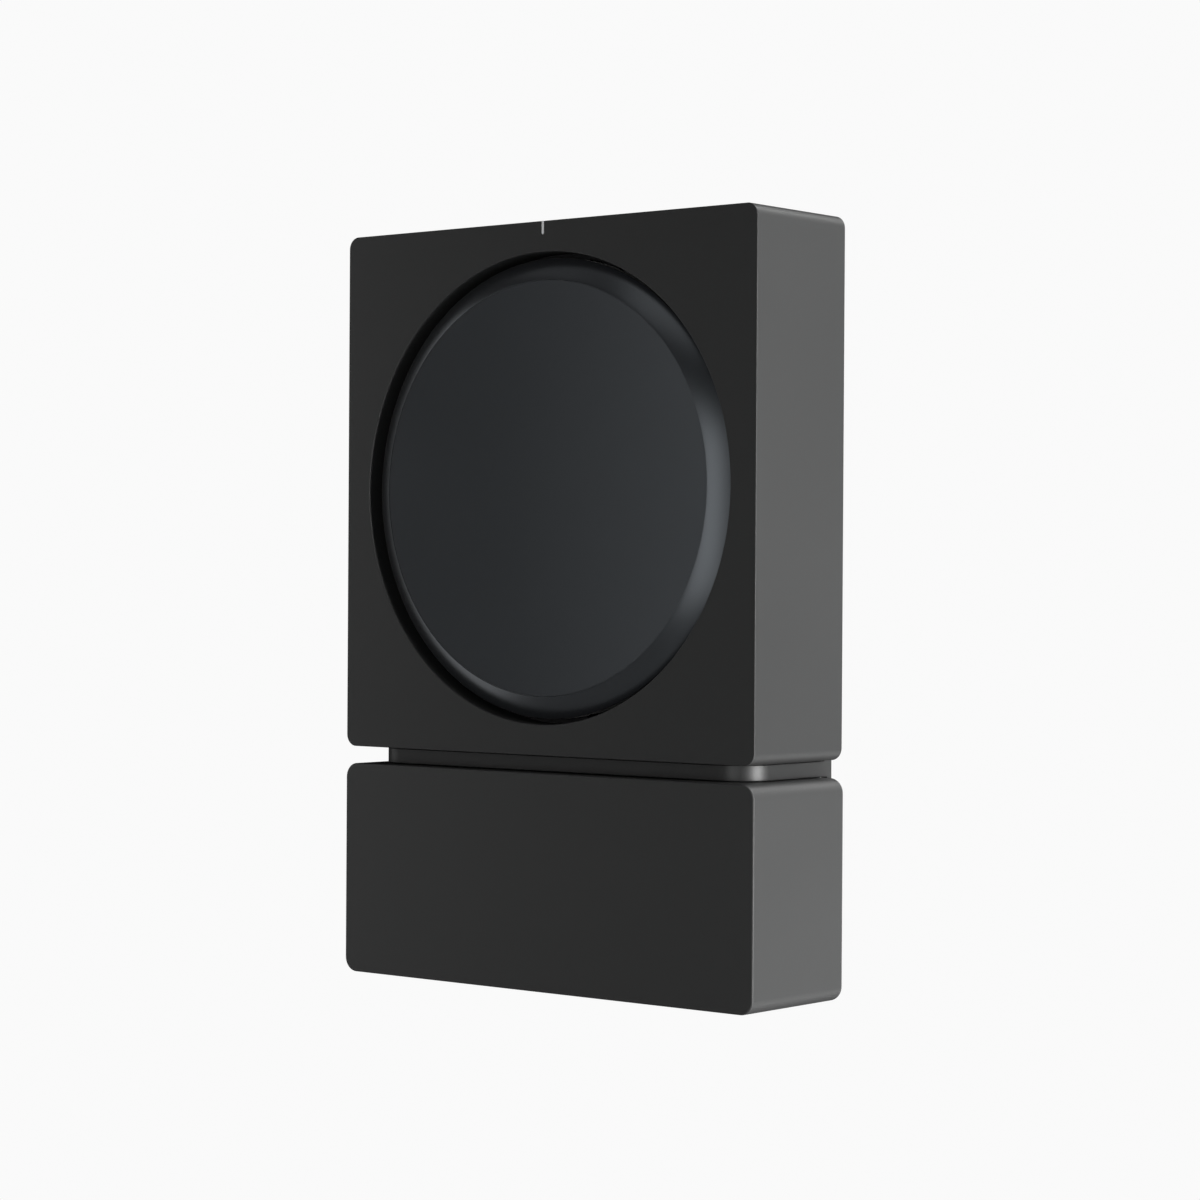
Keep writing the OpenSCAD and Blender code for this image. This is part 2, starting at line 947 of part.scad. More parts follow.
module capacitors() {
    color("#22303f")
        for (z = [8, 33, 58])
            rod_y(10.5, board_y - 29, board_y, 82, unit_z + z);
}

// Mains filter coil on the power board.
module choke() {
    color(gold)
        translate([82, board_y - 3, unit_z - 57])
            rotate([90, 0, 0])
                rotate_extrude($fn = 72)
                    translate([6.5, 0])
                        circle(3, $fn = 24);
}

module radio_card() {
    color(board_green)
        span([-58, base_y - 3, unit_z + 52], [-14, base_y, unit_z + 82]);
}

// Antenna boards on edge in the two upper corners and at the left.
module antennas() {
    color("#8a6d3b") {
        for (sx = [-1, 1])
            span([sx * 74 - 16, -40, unit_z + 96], [sx * 74 + 16, base_y, unit_z + 97.6]);
        span([-102, -40, unit_z + 20], [-100.4, base_y, unit_z + 60]);
    }
}

// Flat cable from the touch board down to the main board.
module ribbon_cable() {
    t = 0.3;
    y0 = -30;
    top = inside_top - 4.4;
    color("#d8d4c8") {
        span([-6, -12 - t, main_z1 - 8], [6, -12, unit_z + 82]);
        span([-6, y0, unit_z + 82 - t], [6, -12, unit_z + 82]);
        span([-6, y0, unit_z + 82 - t], [6, y0 + t, top - 1]);
        span([-6, y0 - 5, top - 1 - t], [6, y0 + t, top - 1]);
    }
}

wall_plate();
hang_studs();
cable_tray();
cable_posts();
tray_screws();
wall_grommet();
ball_studs();
neck_collar();
neck_seal();
collar_screws();
dock_cover();
catch_sockets();
exit_grommet();
housing();
puck_cap();
puck_shoulder();
puck_posts();
puck_screws();
vent_baffle();
light_pipe();
status_led();
touch_board();
base_plate();
base_screws();
foot_ring();
connector_panel();
panel_screws();
ethernet_jacks();
hdmi_jack();
rca_jacks();
speaker_terminals();
mains_inlet();
inlet_pins();
join_button();
join_switch();
main_board();
board_standoffs();
board_screws();
shield_can();
amp_chips();
heat_bridge();
heatsink();
heatsink_posts();
power_board();
transformer();
capacitors();
choke();
radio_card();
antennas();
ribbon_cable();
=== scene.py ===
import math

import bmesh
import bpy
from mathutils import Matrix, Vector


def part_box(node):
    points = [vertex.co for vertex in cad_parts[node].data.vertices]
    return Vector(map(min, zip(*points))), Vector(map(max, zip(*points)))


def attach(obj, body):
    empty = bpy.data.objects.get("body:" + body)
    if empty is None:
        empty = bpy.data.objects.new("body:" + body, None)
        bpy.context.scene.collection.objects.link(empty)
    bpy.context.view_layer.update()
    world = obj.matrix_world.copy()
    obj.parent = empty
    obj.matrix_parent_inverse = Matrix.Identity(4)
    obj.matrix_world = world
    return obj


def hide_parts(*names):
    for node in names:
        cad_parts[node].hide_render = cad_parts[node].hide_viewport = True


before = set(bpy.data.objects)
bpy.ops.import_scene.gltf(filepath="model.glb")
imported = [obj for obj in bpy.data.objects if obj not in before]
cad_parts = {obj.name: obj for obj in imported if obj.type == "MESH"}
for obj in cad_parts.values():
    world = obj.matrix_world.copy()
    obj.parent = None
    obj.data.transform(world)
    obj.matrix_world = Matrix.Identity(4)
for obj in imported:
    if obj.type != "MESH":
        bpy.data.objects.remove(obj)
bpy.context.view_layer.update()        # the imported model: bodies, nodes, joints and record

MM = 0.001
bpy.context.scene.view_settings.view_transform = "Standard"

# ------------------------------------------------------------------ camera and studio
# The object hangs in a pale studio. The strongest soft light stands to its right and
# another behind it, so the right-hand sides are grey and the faces stay nearly black.
# Weak panels in front, above and below shape the faces, the puck and the edges.

camera_data = bpy.data.cameras.new("camera")
camera_data.sensor_width = 36
camera_data.lens = 94.49
camera = bpy.data.objects.new("camera", camera_data)
bpy.context.collection.objects.link(camera)
bpy.context.scene.camera = camera

turn, tip, roll = (math.radians(v) for v in (39.43, -0.305, 0.345))
ahead = Vector((-math.sin(turn) * math.cos(tip), math.cos(turn) * math.cos(tip), math.sin(tip)))
level = Vector((math.cos(turn), math.sin(turn), 0))
upward = level.cross(ahead)
side = math.cos(roll) * level + math.sin(roll) * upward
above = -math.sin(roll) * level + math.cos(roll) * upward
stand = Matrix.Translation((0.8307, -1.0362, 0.0097))
camera.matrix_world = stand @ Matrix((side, above, -ahead)).transposed().to_4x4()

BACKDROP = 0.955         # seamless paper, a little under pure white

world = bpy.data.worlds.new("studio")
bpy.context.scene.world = world
world.use_nodes = True
nodes, links = world.node_tree.nodes, world.node_tree.links
nodes.clear()
seen = nodes.new("ShaderNodeLightPath")
paper = nodes.new("ShaderNodeBackground")
paper.inputs["Color"].default_value = (1, 1, 1, 1)
paper.inputs["Strength"].default_value = BACKDROP
dark = nodes.new("ShaderNodeBackground")
dark.inputs["Strength"].default_value = 0.0
mix = nodes.new("ShaderNodeMixShader")
out = nodes.new("ShaderNodeOutputWorld")
links.new(seen.outputs["Is Camera Ray"], mix.inputs["Fac"])
links.new(dark.outputs[0], mix.inputs[1])
links.new(paper.outputs[0], mix.inputs[2])
links.new(mix.outputs[0], out.inputs["Surface"])


def panel_light(name, azimuth, elevation, distance, width, height, power):
    """A soft box that faces the object. Azimuth is from the front, towards the right."""
    data = bpy.data.lights.new(name, "AREA")
    data.shape = "RECTANGLE"
    data.size, data.size_y = width, height
    data.energy = power
    light = bpy.data.objects.new(name, data)
    a, e = math.radians(azimuth), math.radians(elevation)
    towards = Vector((math.sin(a) * math.cos(e), -math.cos(a) * math.cos(e), math.sin(e)))
    light.location = towards * distance
    light.rotation_mode = "QUATERNION"
    light.rotation_quaternion = towards.to_track_quat("Z", "Y")
    light.visible_camera = False
    bpy.context.collection.objects.link(light)


panel_light("front_right", 18, -4, 2.4, 0.85, 2.2, 13.5)
panel_light("right", 92, 0, 2.4, 0.8, 2.4, 122)
panel_light("behind", 172, 0, 2.4, 0.72, 2.4, 22)
panel_light("front_left", -30, 0, 2.4, 0.35, 2.4, 3.5)
panel_light("near_left", -66, 0, 0.5, 0.2, 0.7, 0.4)
panel_light("high_left", -60, 52, 2.4, 1.2, 0.9, 0.9)
panel_light("high_front", 0, 52, 2.4, 1.2, 0.9, 2.7)
panel_light("high_behind", 140, 52, 2.4, 1.2, 0.9, 45)
panel_light("low_behind", 120, -38, 2.2, 1.2, 0.6, 17)

FLOOR_Z = -1.7
floor_data = bpy.data.meshes.new("floor")
around = [(x, y, FLOOR_Z) for x, y in ((-6, -6), (6, -6), (6, 6), (-6, 6))]
floor_data.from_pydata(around, [], [(0, 1, 2, 3)])
floor = bpy.data.objects.new("floor", floor_data)
bpy.context.collection.objects.link(floor)
floor_paint = bpy.data.materials.new("floor_paint")
floor_paint.use_nodes = True
nodes, links = floor_paint.node_tree.nodes, floor_paint.node_tree.links
nodes.clear()
seen = nodes.new("ShaderNodeLightPath")
glow = nodes.new("ShaderNodeEmission")
glow.inputs["Strength"].default_value = BACKDROP
matt = nodes.new("ShaderNodeBsdfDiffuse")
matt.inputs["Color"].default_value = (0.35, 0.35, 0.35, 1)
mix = nodes.new("ShaderNodeMixShader")
out = nodes.new("ShaderNodeOutputMaterial")
links.new(seen.outputs["Is Camera Ray"], mix.inputs["Fac"])
links.new(matt.outputs[0], mix.inputs[1])
links.new(glow.outputs[0], mix.inputs[2])
links.new(mix.outputs[0], out.inputs["Surface"])
floor_data.materials.append(floor_paint)

# ------------------------------------------------------------------ wall plate
# Black powder-coated steel, cut from 2.5 mm sheet. It is screwed to the wall and
# everything else hangs on it. The coat has the fine orange peel of baked powder.


def new_group(name, inputs, outputs):
    """An empty shader node group with float, colour or vector sockets."""
    tree = bpy.data.node_groups.new(name, "ShaderNodeTree")
    kinds = {"f": "NodeSocketFloat", "c": "NodeSocketColor", "v": "NodeSocketVector"}
    for label, kind, value in inputs:
        socket = tree.interface.new_socket(label, in_out="INPUT", socket_type=kinds[kind])
        if value is not None:
            socket.default_value = value
    for label, kind in outputs:
        tree.interface.new_socket(label, in_out="OUTPUT", socket_type=kinds[kind])
    return tree, tree.nodes.new("NodeGroupInput"), tree.nodes.new("NodeGroupOutput")


def noise(tree, coords, scale, detail=2.0, rough=0.5):
    """A noise texture whose scale is in features per metre."""
    node = tree.nodes.new("ShaderNodeTexNoise")
    node.inputs["Detail"].default_value = detail
    node.inputs["Roughness"].default_value = rough
    tree.links.new(coords, node.inputs["Vector"])
    if isinstance(scale, (int, float)):
        node.inputs["Scale"].default_value = scale
    else:
        tree.links.new(scale, node.inputs["Scale"])
    return node.outputs["Fac"]


def math_node(tree, operation, a, b=0.0, c=None, clamp=False):
    """One Math node. Its inputs are numbers or sockets."""
    node = tree.nodes.new("ShaderNodeMath")
    node.operation = operation
    node.use_clamp = clamp
    for socket, value in zip(node.inputs, (a, b, c)):
        if value is None:
            continue
        if isinstance(value, (int, float)):
            socket.default_value = value
        else:
            tree.links.new(value, socket)
    return node.outputs[0]


def tint_mix(tree, factor, a, b):
    """Mixes two colours by a factor socket."""
    node = tree.nodes.new("ShaderNodeMix")
    node.data_type = "RGBA"
    tree.links.new(factor, node.inputs["Factor"])
    for socket, value in ((node.inputs["A"], a), (node.inputs["B"], b)):
        if isinstance(value, tuple):
            socket.default_value = value
        else:
            tree.links.new(value, socket)
    return node.outputs["Result"]


def surface_skin():
    """Grain, cloudy shading and dust shared by every finish: a height, a colour and a roughness."""
    tree, given, made = new_group(
        "surface_skin",
        [
            ("Color", "c", (0.02, 0.02, 0.02, 1)),
            ("Roughness", "f", 0.5),
            ("Grain per m", "f", 2500.0),
            ("Cloud per m", "f", 14.0),
            ("Cloud amount", "f", 0.12),
            ("Roughness spread", "f", 0.06),
            ("Dust", "f", 0.0),
            ("Stretch", "v", (1, 1, 1)),
        ],
        [("Color", "c"), ("Roughness", "f"), ("Height", "f")],
    )
    place = tree.nodes.new("ShaderNodeTexCoord").outputs["Object"]
    drawn = tree.nodes.new("ShaderNodeVectorMath")
    drawn.operation = "MULTIPLY"
    tree.links.new(place, drawn.inputs[0])
    tree.links.new(given.outputs["Stretch"], drawn.inputs[1])
    grain = noise(tree, drawn.outputs[0], given.outputs["Grain per m"], 3.0, 0.6)
    cloud = noise(tree, place, given.outputs["Cloud per m"], 4.0, 0.55)
    fleck = noise(tree, place, 900.0, 2.0, 0.7)
    shade = math_node(tree, "SUBTRACT", cloud, 0.5)
    shade = math_node(tree, "MULTIPLY_ADD", shade, given.outputs["Cloud amount"], 1.0)
    scaled = tree.nodes.new("ShaderNodeVectorMath")
    scaled.operation = "SCALE"
    tree.links.new(given.outputs["Color"], scaled.inputs[0])
    tree.links.new(shade, scaled.inputs["Scale"])
    # Dust lies on what faces up.
    facing = tree.nodes.new("ShaderNodeNewGeometry")
    split = tree.nodes.new("ShaderNodeSeparateXYZ")
    tree.links.new(facing.outputs["Normal"], split.inputs[0])
    lying = math_node(tree, "MAXIMUM", split.outputs["Z"], 0.05)
    specks = math_node(tree, "GREATER_THAN", fleck, 0.66)
    dust = math_node(tree, "MULTIPLY", lying, specks)
    dust = math_node(tree, "MULTIPLY", dust, given.outputs["Dust"], clamp=True)
    colour = tint_mix(tree, dust, scaled.outputs[0], (0.25, 0.24, 0.22, 1))
    spread = math_node(tree, "SUBTRACT", grain, 0.5)
    spread = math_node(tree, "ADD", spread, math_node(tree, "SUBTRACT", cloud, 0.5))
    amount = given.outputs["Roughness spread"]
    rough = math_node(tree, "MULTIPLY_ADD", spread, amount, given.outputs["Roughness"])
    duller = math_node(tree, "MULTIPLY", dust, 0.3)
    rough = math_node(tree, "ADD", rough, duller, clamp=True)
    tree.links.new(colour, made.inputs["Color"])
    tree.links.new(rough, made.inputs["Roughness"])
    tree.links.new(grain, made.inputs["Height"])
    return tree


SKIN = surface_skin()


def finish_of(name, colour, roughness, grain=2500.0, bump=0.02, cloud=0.12, spread=0.06, dust=0.0,
              metallic=0.0, specular=0.5, tint=(1, 1, 1), coat=0.0, stretch=(1, 1, 1)):
    """A finish made of the shared skin and the surface's own gloss. Bump is in millimetres."""
    made = bpy.data.materials.new(name)
    made.use_nodes = True
    tree = made.node_tree
    body = tree.nodes["Principled BSDF"]
    skin = tree.nodes.new("ShaderNodeGroup")
    skin.node_tree = SKIN
    skin.inputs["Color"].default_value = (*colour, 1)
    skin.inputs["Roughness"].default_value = roughness
    skin.inputs["Grain per m"].default_value = grain
    skin.inputs["Cloud amount"].default_value = cloud
    skin.inputs["Roughness spread"].default_value = spread
    skin.inputs["Dust"].default_value = dust
    skin.inputs["Stretch"].default_value = stretch
    raised = tree.nodes.new("ShaderNodeBump")
    raised.inputs["Strength"].default_value = 1.0
    raised.inputs["Distance"].default_value = bump * MM
    tree.links.new(skin.outputs["Color"], body.inputs["Base Color"])
    tree.links.new(skin.outputs["Roughness"], body.inputs["Roughness"])
    tree.links.new(skin.outputs["Height"], raised.inputs["Height"])
    tree.links.new(raised.outputs["Normal"], body.inputs["Normal"])
    body.inputs["Metallic"].default_value = metallic
    body.inputs["Specular IOR Level"].default_value = specular
    body.inputs["Specular Tint"].default_value = (*tint, 1)
    body.inputs["Coat Weight"].default_value = coat
    body.inputs["Coat Roughness"].default_value = 0.2
    return made


def tidy(piece, angle=32):
    """Merges doubles, turns faces outwards, and shades smooth between sharp edges."""
    shape = bmesh.new()
    shape.from_mesh(piece.data)
    bmesh.ops.remove_doubles(shape, verts=shape.verts, dist=1e-7)
    bmesh.ops.recalc_face_normals(shape, faces=shape.faces)
    shape.to_mesh(piece.data)
    shape.free()
    piece.data.shade_smooth()
    piece.data.set_sharp_from_angle(angle=math.radians(angle))


def bake(piece):
    """Applies the modifiers of a piece."""
    graph = bpy.context.evaluated_depsgraph_get()
    graph.update()
    plain = bpy.data.meshes.new_from_object(piece.evaluated_get(graph), depsgraph=graph)
    piece.modifiers.clear()
    piece.data = plain


def flatten_shading(piece):
    """Weights the normals by face area, so that big flats stay flat beside small radii."""
    weigh = piece.modifiers.new("weigh", "WEIGHTED_NORMAL")
    weigh.keep_sharp = True
    weigh.weight = 80
    bake(piece)


def dress(piece, material, body, node_names):
    """Paints a finished piece, lets it ride its body and stand for its CAD nodes."""
    piece.data.materials.clear()
    piece.data.materials.append(material)
    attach(piece, body)
    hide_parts(*node_names)


def softened(node_name, body, material, width=0.25, segments=2):
    """A copy of a CAD node whose edges are broken by a small radius, in millimetres."""
    piece = bpy.data.objects.new(node_name + "_piece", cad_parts[node_name].data.copy())
    bpy.context.collection.objects.link(piece)
    shape = bmesh.new()
    shape.from_mesh(piece.data)
    bmesh.ops.remove_doubles(shape, verts=shape.verts, dist=1e-6)
    bmesh.ops.dissolve_limit(shape, angle_limit=math.radians(1), verts=shape.verts, edges=shape.edges)
    shape.to_mesh(piece.data)
    shape.free()
    broken = piece.modifiers.new("broken", "BEVEL")
    broken.width = width * MM
    broken.segments = segments
    broken.limit_method = "ANGLE"
    broken.angle_limit = math.radians(40)
    bake(piece)
    tidy(piece)
    flatten_shading(piece)
    dress(piece, material, body, [node_name])
    return piece


powder_coat = finish_of("powder_coat", (0.02, 0.02, 0.021), 0.52, 1600, 0.03, dust=0.3)
softened("wall_plate", "wall_dock", powder_coat, 0.3)

# ------------------------------------------------------------------ studs
# Turned zinc-plated steel, riveted to the plate: four shouldered studs for the node
# unit's keyholes, and four ball studs that the dock cover snaps on.

zinc_plate = finish_of("zinc_plate", (0.52, 0.53, 0.55), 0.34, 3000, 0.004, cloud=0.3,
                       spread=0.2, metallic=1.0)
softened("hang_studs", "wall_dock", zinc_plate, 0.5, 3)
softened("ball_studs", "wall_dock", zinc_plate, 0.3)

# ------------------------------------------------------------------ cable tray
# Injection-moulded tray and winding posts in textured black, held by four pan head
# screws. Every screw is a turned head with a cross recess, set at a chance angle.

inner_black = finish_of("inner_black", (0.012, 0.012, 0.013), 0.55, 1800, 0.02, dust=0.2)
softened("cable_tray", "wall_dock", inner_black, 0.4)
softened("cable_posts", "wall_dock", inner_black, 0.8, 3)


def loft(name, rings, closed=False, caps=False):
    """Joins rings of equal length with quads. The rings are lists of 3-D points."""
    count = len(rings[0])
    verts = [p for ring in rings for p in ring]
    faces = []
    steps = len(rings) if closed else len(rings) - 1
    for r in range(steps):
        a, b = r * count, ((r + 1) % len(rings)) * count
        for i in range(count):
            j = (i + 1) % count
            faces.append((a + i, a + j, b + j, b + i))
    if caps:
        faces.append(tuple(range(count)))
        faces.append(tuple(reversed(range((len(rings) - 1) * count, len(rings) * count))))
    data = bpy.data.meshes.new(name)
    data.from_pydata(verts, [], faces)
    piece = bpy.data.objects.new(name, data)
    bpy.context.collection.objects.link(piece)
    return piece


def box_shape(low, high):
    """A box that cuts another piece."""
    data = bpy.data.meshes.new("cutter")
    shape = bmesh.new()
    bmesh.ops.create_cube(shape, size=1)
    size = Matrix.Diagonal((*(Vector(high) - Vector(low)), 1))
    middle = Matrix.Translation((Vector(low) + Vector(high)) / 2)
    bmesh.ops.transform(shape, matrix=middle @ size, verts=shape.verts)
    shape.to_mesh(data)
    shape.free()
    return data


def combine(piece, shapes, operation):
    """Cuts each shape out of a piece, or joins it on."""
    for data in shapes:
        tool = bpy.data.objects.new("tool", data)
        bpy.context.collection.objects.link(tool)
        step = piece.modifiers.new("step", "BOOLEAN")
        step.operation = operation
        step.solver = "EXACT"
        step.object = tool
        bake(piece)
        bpy.data.objects.remove(tool)


def screw_shape(head_r, head_t, shank_r, shank_len, countersunk=False):
    """A screw that stands on the origin with its head towards -Y and its shank along +Y."""
    if countersunk:
        profile = [(0, -head_t), (head_r * 0.97, -head_t)]
        profile += [(head_r, -head_t + 0.15 * MM), (head_r, -head_t + 0.3 * MM)]
    else:
        crown = ((0, 1), (0.45, 0.97), (0.78, 0.82), (0.96, 0.5), (1, 0.2))
        profile = [(head_r * r, -head_t * t) for r, t in crown]
    profile += [(head_r, 0.0), (shank_r, 0.0)]
    turns = max(2, int(shank_len / (0.9 * MM)))
    for i in range(turns):
        y = shank_len * i / turns
        profile += [(shank_r, y + 0.1 * MM), (shank_r * 0.86, y + shank_len / turns / 2)]
    profile += [(shank_r * 0.7, shank_len), (0, shank_len)]
    rings = []
    steps = 28
    for i in range(steps):
        a = 2 * math.pi * i / steps
        rings.append([(r * math.cos(a), y, r * math.sin(a)) for r, y in profile])
    piece = loft("screw", rings, closed=True)
    tidy(piece)
    arm, slot = head_r * 0.55, head_r * 0.13
    floor_y = -head_t + head_t * 0.55
    cross = [
        box_shape((-arm, -head_t - MM, -slot), (arm, floor_y, slot)),
        box_shape((-slot, -head_t - MM, -arm), (slot, floor_y, arm)),
    ]
    combine(piece, cross, "DIFFERENCE")
    tidy(piece)
    return piece


def new_tree(name, inputs):
    """An empty Geometry Nodes tree with named inputs and one geometry output."""
    tree = bpy.data.node_groups.new(name, "GeometryNodeTree")
    for label, kind in inputs:
        tree.interface.new_socket(label, in_out="INPUT", socket_type="NodeSocket" + kind)
    tree.interface.new_socket("Result", in_out="OUTPUT", socket_type="NodeSocketGeometry")
    return tree, tree.nodes.new("NodeGroupInput"), tree.nodes.new("NodeGroupOutput")


def chain(tree, start, *steps):
    """Links geometry through nodes, by each node's first geometry socket, and returns the last output."""
    for node, label in steps:
        tree.links.new(start, node.inputs[label])
        start = node.outputs[0]
    return start


def finish_tree(tree, start, given, made):
    """Ends a tree in Realize Instances and Set Material."""
    real = tree.nodes.new("GeometryNodeRealizeInstances")
    coat = tree.nodes.new("GeometryNodeSetMaterial")
    tree.links.new(given.outputs["Material"], coat.inputs["Material"])
    end = chain(tree, start, (real, "Geometry"), (coat, "Geometry"))
    tree.links.new(end, made.inputs["Result"])


def random_turn(tree, given):
    """A chance turn about the given axis, in whole steps of the given angle."""
    chance = tree.nodes.new("FunctionNodeRandomValue")
    chance.data_type = "INT"
    chance.inputs[4].default_value = 0
    chance.inputs[5].default_value = 359
    tree.links.new(given.outputs["Seed"], chance.inputs["Seed"])
    angle = tree.nodes.new("ShaderNodeMath")
    angle.operation = "MULTIPLY"
    tree.links.new(chance.outputs[2], angle.inputs[0])
    tree.links.new(given.outputs["Step"], angle.inputs[1])
    spin = tree.nodes.new("ShaderNodeVectorMath")
    spin.operation = "SCALE"
    tree.links.new(given.outputs["Axis"], spin.inputs[0])
    tree.links.new(angle.outputs[0], spin.inputs["Scale"])
    return spin.outputs[0]


def set_tree():
    """Sets one copy of a shape on every point, each turned by chance about an axis."""
    tree, given, made = new_tree("set_on_points", [
        ("Places", "Geometry"), ("Shape", "Object"), ("Axis", "Vector"),
        ("Step", "Float"), ("Seed", "Int"), ("Material", "Material"),
    ])
    source = tree.nodes.new("GeometryNodeObjectInfo")
    tree.links.new(given.outputs["Shape"], source.inputs["Object"])
    put = tree.nodes.new("GeometryNodeInstanceOnPoints")
    tree.links.new(given.outputs["Places"], put.inputs["Points"])
    tree.links.new(source.outputs["Geometry"], put.inputs["Instance"])
    tree.links.new(random_turn(tree, given), put.inputs["Rotation"])
    finish_tree(tree, put.outputs[0], given, made)
    return tree


SET_ON_POINTS = set_tree()


def grow(name, start_data, tree, **values):
    """Runs a tree on a mesh and keeps the result as a plain mesh."""
    piece = bpy.data.objects.new(name, start_data)
    bpy.context.collection.objects.link(piece)
    made = piece.modifiers.new("made", "NODES")
    made.node_group = tree
    for socket in tree.interface.items_tree:
        if socket.in_out == "INPUT" and socket.name in values:
            made[socket.identifier] = values[socket.name]
    bake(piece)
    return piece


def points_mesh(name, places):
    """A mesh of loose points."""
    data = bpy.data.meshes.new(name)
    data.from_pydata(places, [], [])
    return data


def screws(node_name, body, places, shape, seed, axis=(0.0, 1.0, 0.0)):
    """Replaces a CAD node of screws by turned ones."""
    piece = grow(node_name + "_set", points_mesh(node_name, places), SET_ON_POINTS, Shape=shape, Axis=axis,
                 Step=math.radians(1), Seed=seed, Material=screw_zinc)
    bpy.data.objects.remove(shape)
    tidy(piece)
    dress(piece, screw_zinc, body, [node_name])


screw_zinc = finish_of("screw_zinc", (0.45, 0.455, 0.47), 0.3, 2500, 0.003, cloud=0.35,
                       spread=0.25, metallic=1.0)
cover_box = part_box("dock_cover")
DOCK_Z = (cover_box[0].z + cover_box[1].z) / 2
tray_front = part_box("wall_grommet")[0].y + 1.6 * MM
corners = [(sx, sz) for sx in (-1, 1) for sz in (-1, 1)]
places = [(sx * 52 * MM, tray_front, DOCK_Z + sz * 31 * MM) for sx, sz in corners]
screws("tray_screws", "wall_dock", places, screw_shape(3.6 * MM, 2 * MM, 1.6 * MM, -tray_front), 1)

# ------------------------------------------------------------------ wall grommet
# Rubber edging pressed into the hole that the in-wall cables come out of. Moulded
# rubber is dull, and dust sticks to it.

rubber_black = finish_of("rubber_black", (0.013, 0.013, 0.013), 0.8, 900, 0.04, dust=0.4)
softened("wall_grommet", "wall_dock", rubber_black, 0.6, 3)

# ------------------------------------------------------------------ neck collar
# A low hollow moulding that joins the unit to the dock, screwed to the wall plate. Its
# wall is swept round the neck's plan outline, and its top and bottom edges are broken.

collar_lo, collar_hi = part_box("neck_collar")
UNDER_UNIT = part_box("housing")[0].z
COLLAR_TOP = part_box("neck_seal")[0].z
COLLAR_BOTTOM = cover_box[1].z + 0.3 * MM
COLLAR_T = 3 * MM
COLLAR_R = 15 * MM
half = collar_hi.x


def rod_shape(radius, y0, y1, x, z, sides=48):
    """A rod along Y that cuts or joins another piece."""
    data = bpy.data.meshes.new("cutter")
    shape = bmesh.new()
    bmesh.ops.create_cone(
        shape, cap_ends=True, segments=sides, radius1=radius, radius2=radius, depth=y1 - y0)
    turned = Matrix.Translation((x, (y0 + y1) / 2, z)) @ Matrix.Rotation(math.pi / 2, 4, "X")
    bmesh.ops.transform(shape, matrix=turned, verts=shape.verts)
    shape.to_mesh(data)
    shape.free()
    return data


def arc(radius, start, end, steps):
    """Offsets along a quarter round, as (first, second) pairs."""
    for i in range(steps + 1):
        a = math.radians(start + (end - start) * i / steps)
        yield radius * math.cos(a), radius * math.sin(a)


# Each place on the path has an outward direction. It runs along one side, round the
# corner and to the middle of the front, and the rest is its mirror image.
path = [(half, y * MM, 1.0, 0.0) for y in (0, -12, -28)]
for u, v in arc(COLLAR_R, 0, 90, 24):
    at = (half - COLLAR_R + u, collar_lo.y + COLLAR_R - v)
    path.append((*at, u / COLLAR_R, -v / COLLAR_R))
path += [(x * MM, collar_lo.y, 0.0, -1.0) for x in (60, 20)]
path += [(-x, y, -nx, ny) for x, y, nx, ny in reversed(path)]
soft = 0.35 * MM
section = [(-COLLAR_T, COLLAR_BOTTOM)]
section += [(-soft + u, COLLAR_BOTTOM + soft - v) for u, v in arc(soft, 90, 0, 3)]
section += [(-soft + u, COLLAR_TOP - soft + v) for u, v in arc(soft, 0, 90, 3)]
section += [(-COLLAR_T, COLLAR_TOP)]
rings = [[(x + nx * u, y + ny * u, z) for u, z in section] for x, y, nx, ny in path]
collar = loft("neck_collar_shell", rings, caps=True)
tidy(collar)
TAB_FRONT, TAB_BACK, TAB_IN = -5.5 * MM, -2.5 * MM, 83.3 * MM
leg_front = cover_box[1].y + 0.4 * MM
extras = []
for sx in (-1, 1):
    x0, x1 = sorted((sx * (half - COLLAR_T), sx * half))
    extras.append(box_shape((x0, leg_front, collar_lo.z), (x1, 0, COLLAR_BOTTOM + MM)))
    extras.append(box_shape((x0, -5.1 * MM, COLLAR_TOP - MM), (x1, 0, collar_hi.z)))
    x0, x1 = sorted((sx * TAB_IN, sx * (half - COLLAR_T + 0.2 * MM)))
    extras.append(box_shape((x0, TAB_FRONT, COLLAR_BOTTOM), (x1, TAB_BACK, COLLAR_TOP)))
combine(collar, extras, "UNION")
COLLAR_SCREW_X = 88 * MM
screw_z = (cover_box[1].z + UNDER_UNIT) / 2
bores = [rod_shape(1.7 * MM, -7 * MM, -2 * MM, sx * COLLAR_SCREW_X, screw_z) for sx in (-1, 1)]
combine(collar, bores, "DIFFERENCE")
tidy(collar)
flatten_shading(collar)
# The neck's black is darker than the housing's: painted shade for the narrow gap under the unit, where the
# neck's sides lie in shadow.
neck_black = finish_of("neck_black", (0.014, 0.0145, 0.0145), 0.46, 2600, 0.012, cloud=0.1,
                       spread=0.05, dust=0.15, specular=0.65)
dress(collar, neck_black, "wall_dock", ["neck_collar"])
softened("neck_seal", "wall_dock", rubber_black, 0.1)
places = [(sx * COLLAR_SCREW_X, TAB_FRONT, screw_z) for sx in (-1, 1)]
shape = screw_shape(2.6 * MM, 1.6 * MM, 1.2 * MM, -TAB_FRONT)
screws("collar_screws", "wall_dock", places, shape, 2)

# ------------------------------------------------------------------ node housing
# One injection moulding in matte black: the square face with its round well, and the
# four sides. The outline is drawn as rings that run from the well out over the face,
# round the edge, down the sides and back inside, so every edge has its real radius.

housing_lo, housing_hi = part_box("housing")
UNIT_HALF = (housing_hi.x - housing_lo.x) / 2
UNIT_X = (housing_hi.x + housing_lo.x) / 2
UNIT_Z = (housing_hi.z + housing_lo.z) / 2
FACE_Y = housing_lo.y
BACK_Y = housing_hi.y
SIDE_STEPS = 44
CORNER_STEPS = 10


